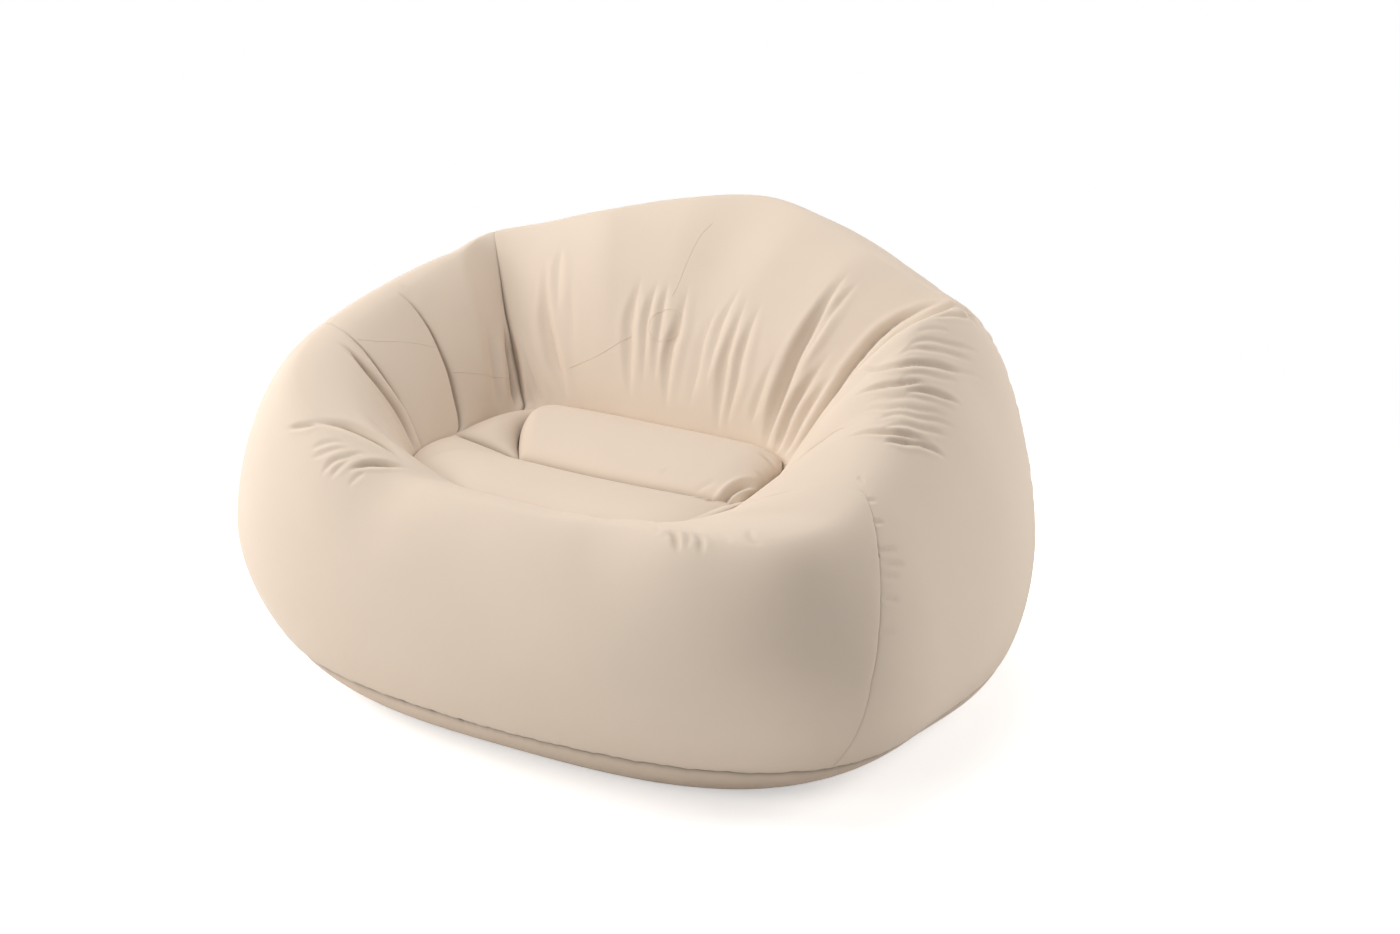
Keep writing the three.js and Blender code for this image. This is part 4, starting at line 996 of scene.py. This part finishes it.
collar = turned("collar_ring", [
    (COLLAR_BORE, COLLAR_END), (NECK_RADIUS, COLLAR_END), (NECK_RADIUS, FLANGE_FOOT),
    (COLLAR_RADIUS, FLANGE_FOOT), (COLLAR_RADIUS, FLANGE_TOP), *groove(29.5, 27.5, 0.5, FLANGE_TOP, 0.3),
    (NECK_RADIUS, FLANGE_TOP), (NECK_RADIUS, COLLAR_TOP), (COLLAR_BORE, COLLAR_TOP)], 0.35)
post_foot, post_near = (FLANGE_FOOT + FLANGE_TOP) / 2, INSERT_HINGE + HALF_GAP
collar_post = block("collar_post", TAB_WIDTH, post_foot, INSERT_TOP, post_near, post_near + POST_DEPTH, 1)
valve_piece(collar, [collar_post], "valve_collar", "chamber", "valve_plastic")

# Valve insert: the plug that fills the collar, with a bore of its own for the pump. It hangs on the
# collar by a strap.
mouth = INSERT_TOP - COLLAR_TOP
seat_radius = min(swing_radius(INSERT_HINGE, COLLAR_BORE, mouth, INSERT_TOP - INSERT_SEAT),
                  COLLAR_BORE - PLUG_CLEARANCE)
end_radius = swing_radius(INSERT_HINGE, COLLAR_BORE, mouth, INSERT_TOP - INSERT_END) - PLUG_CLEARANCE
insert = turned("insert_plug", [
    (INSERT_BORE, INSERT_END), (end_radius, INSERT_END), (seat_radius, INSERT_SEAT),
    (INSERT_RADIUS, INSERT_SEAT), (INSERT_RADIUS, INSERT_TOP), *groove(17.4, 16, 0.4, INSERT_TOP, 0.25),
    (INSERT_BORE, INSERT_TOP)], 0.3)
boss_near = FLAP_HINGE + HALF_GAP
valve_piece(insert, [
    block("insert_tab", TAB_WIDTH, INSERT_TOP - TAB_THICKNESS, INSERT_TOP, (seat_radius + INSERT_RADIUS) / 2,
          INSERT_HINGE - HALF_GAP, 1),
    block("cap_post", TAB_WIDTH, (INSERT_SEAT + INSERT_TOP) / 2, CAP_TOP, CAP_HINGE + HALF_GAP,
          INSERT_RADIUS - HALF_GAP, -1),
    block("flap_boss", TAB_WIDTH / 2, FLAP_FACE, (INSERT_END + INSERT_SEAT) / 2, boss_near,
          boss_near + BOSS_DEPTH, 1),
], "valve_insert", "insert", "valve_plastic")

# Valve cap: a hollow plug under a dished disc, on a strap of its own.
DISH_RADIUS, DISH_SLOPE, DISH_DEPTH = 9.6, 0.6, 0.5
cap_mouth = CAP_TOP - INSERT_TOP
cap_top_radius = swing_radius(CAP_HINGE, INSERT_BORE, cap_mouth, cap_mouth) - PLUG_CLEARANCE / 2
cap_end_radius = swing_radius(CAP_HINGE, INSERT_BORE, cap_mouth, CAP_TOP - CAP_SEAT + CAP_DEPTH)
cap_end_radius -= PLUG_CLEARANCE / 2
cap = turned("cap_plug", [
    (0, CAP_TOP - DISH_DEPTH), (0, CAP_SEAT), (cap_top_radius - CAP_WALL, CAP_SEAT),
    (cap_end_radius - CAP_WALL, CAP_SEAT - CAP_DEPTH), (cap_end_radius, CAP_SEAT - CAP_DEPTH),
    (cap_top_radius, CAP_SEAT), (CAP_RADIUS, CAP_SEAT), (CAP_RADIUS, CAP_TOP), (DISH_RADIUS, CAP_TOP),
    (DISH_RADIUS - DISH_SLOPE, CAP_TOP - DISH_DEPTH)], 0.3)
cap_tab = block("cap_tab", TAB_WIDTH / 2, CAP_TOP - TAB_THICKNESS, CAP_TOP, CAP_RADIUS / 2,
                CAP_HINGE - HALF_GAP, -1)
valve_piece(cap, [cap_tab], "valve_cap", "cap", "valve_plastic")

# Valve flap: a soft disc that hangs behind the insert's bore and lets air in but not out.
flap = turned("flap_disc", [
    (0, FLAP_FACE), (FLAP_RADIUS, FLAP_FACE), (FLAP_RADIUS, FLAP_SEAT), (0, FLAP_SEAT)], 0.2)
flap_tab = block("flap_tab", TAB_WIDTH / 2, FLAP_FACE, FLAP_SEAT, FLAP_RADIUS / 2, FLAP_HINGE - HALF_GAP, 1)
valve_piece(flap, [flap_tab], "valve_flap", "flap", "flap_rubber")

# Studio: a pale floor that runs out to a white surround, soft lamps, and the camera where the
# photograph's was.
FLOOR_HALF, FLOOR_FADE_START, FLOOR_FADE_END = 6, 0.8, 1.7
WHITE = (1, 1, 1, 1)
floor_mesh = bpy.data.meshes.new("floor")
floor_mesh.from_pydata([(x * FLOOR_HALF, y * FLOOR_HALF, 0) for x, y in ((-1, -1), (1, -1), (1, 1), (-1, 1))],
                       [], [(0, 1, 2, 3)])
floor = new_object("floor", floor_mesh)
floor_material = bpy.data.materials.new("floor_white")
floor_material.use_nodes = True
tree = floor_material.node_tree
camera_ray = tree.nodes.new("ShaderNodeLightPath").outputs["Is Camera Ray"]
paint, clear = tree.nodes["Principled BSDF"], tree.nodes.new("ShaderNodeBsdfTransparent")
set_inputs(tree, paint, {
    "Base Color": (0.93, 0.93, 0.93, 1), "Roughness": 0.9, "Specular IOR Level": 0.0, "Emission Color": WHITE,
    "Emission Strength": add_node(tree, "ShaderNodeMath", {0: camera_ray, 1: 0.5}, operation="MULTIPLY")})
place = tree.nodes.new("ShaderNodeTexCoord").outputs["Object"]
distance = add_node(tree, "ShaderNodeVectorMath", {0: place}, operation="LENGTH").outputs["Value"]
fade = add_node(tree, "ShaderNodeMapRange", {
    "Value": distance, "From Min": FLOOR_FADE_START, "From Max": FLOOR_FADE_END},
    interpolation_type="SMOOTHSTEP")
seen_far = add_node(tree, "ShaderNodeMath", {0: fade, 1: camera_ray}, operation="MULTIPLY")
blend = add_node(tree, "ShaderNodeMixShader", {0: seen_far, 1: paint, 2: clear})
set_inputs(tree, tree.nodes["Material Output"], {"Surface": blend})
floor.data.materials.append(floor_material)

world = bpy.data.worlds.new("studio")
bpy.context.scene.world = world
world.use_nodes = True
tree = world.node_tree
seen = tree.nodes["Background"]
set_inputs(tree, seen, {"Color": WHITE, "Strength": 1.0})
light = add_node(tree, "ShaderNodeBackground", {"Color": WHITE, "Strength": 0.03})
ray = tree.nodes.new("ShaderNodeLightPath").outputs
either = add_node(tree, "ShaderNodeMath", {0: ray["Is Camera Ray"], 1: ray["Is Glossy Ray"]},
                  operation="MAXIMUM")
mix = add_node(tree, "ShaderNodeMixShader", {0: either, 1: light, 2: seen})
set_inputs(tree, tree.nodes["World Output"], {"Surface": mix})

LAMP_AIM = Vector((0, 0, 0.35))
for name, place, width, height, power in (
        ("key", (-3.0, -1.6, 3.0), 2.4, 2.4, 98),
        ("front_left", (-1.4, -4.0, 2.0), 2.4, 2.0, 57),
        ("left", (-3.6, 0.0, 1.0), 2.0, 1.6, 36),
        ("top", (-0.3, 0.3, 3.6), 2.6, 2.6, 51),
        ("rim", (2.8, 2.2, 1.6), 1.6, 2.0, 71),
        ("right", (3.2, -1.6, 2.4), 2.0, 2.0, 10)):
    lamp_data = bpy.data.lights.new(name, "AREA")
    lamp_data.shape = "RECTANGLE"
    lamp_data.size, lamp_data.size_y, lamp_data.energy = width, height, power
    lamp = new_object(name, lamp_data)
    lamp.location = place
    lamp.rotation_euler = (LAMP_AIM - Vector(place)).to_track_quat("-Z", "Y").to_euler()

# The camera's axes and place were fitted to the photograph, and its focal length in pixels of it.
FOCAL_PIXELS, PHOTO_PIXELS, SENSOR_WIDTH = 2840, 1400, 36
camera_data = bpy.data.cameras.new("camera")
camera_data.sensor_width = SENSOR_WIDTH
camera_data.lens = FOCAL_PIXELS / PHOTO_PIXELS * SENSOR_WIDTH
camera = new_object("camera", camera_data)
right, up = Vector((0.84983, 0.52706, 0)), Vector((-0.18025, 0.29064, 0.93970))
back = Vector((0.49528, -0.79859, 0.34199))
camera_axes = Matrix((right, up, back)).transposed().to_4x4()
camera_axes.translation = (2.00278, -3.11749, 1.64580)
camera.matrix_world = camera_axes
bpy.context.scene.camera = camera
bpy.context.scene.view_settings.view_transform = "Standard"
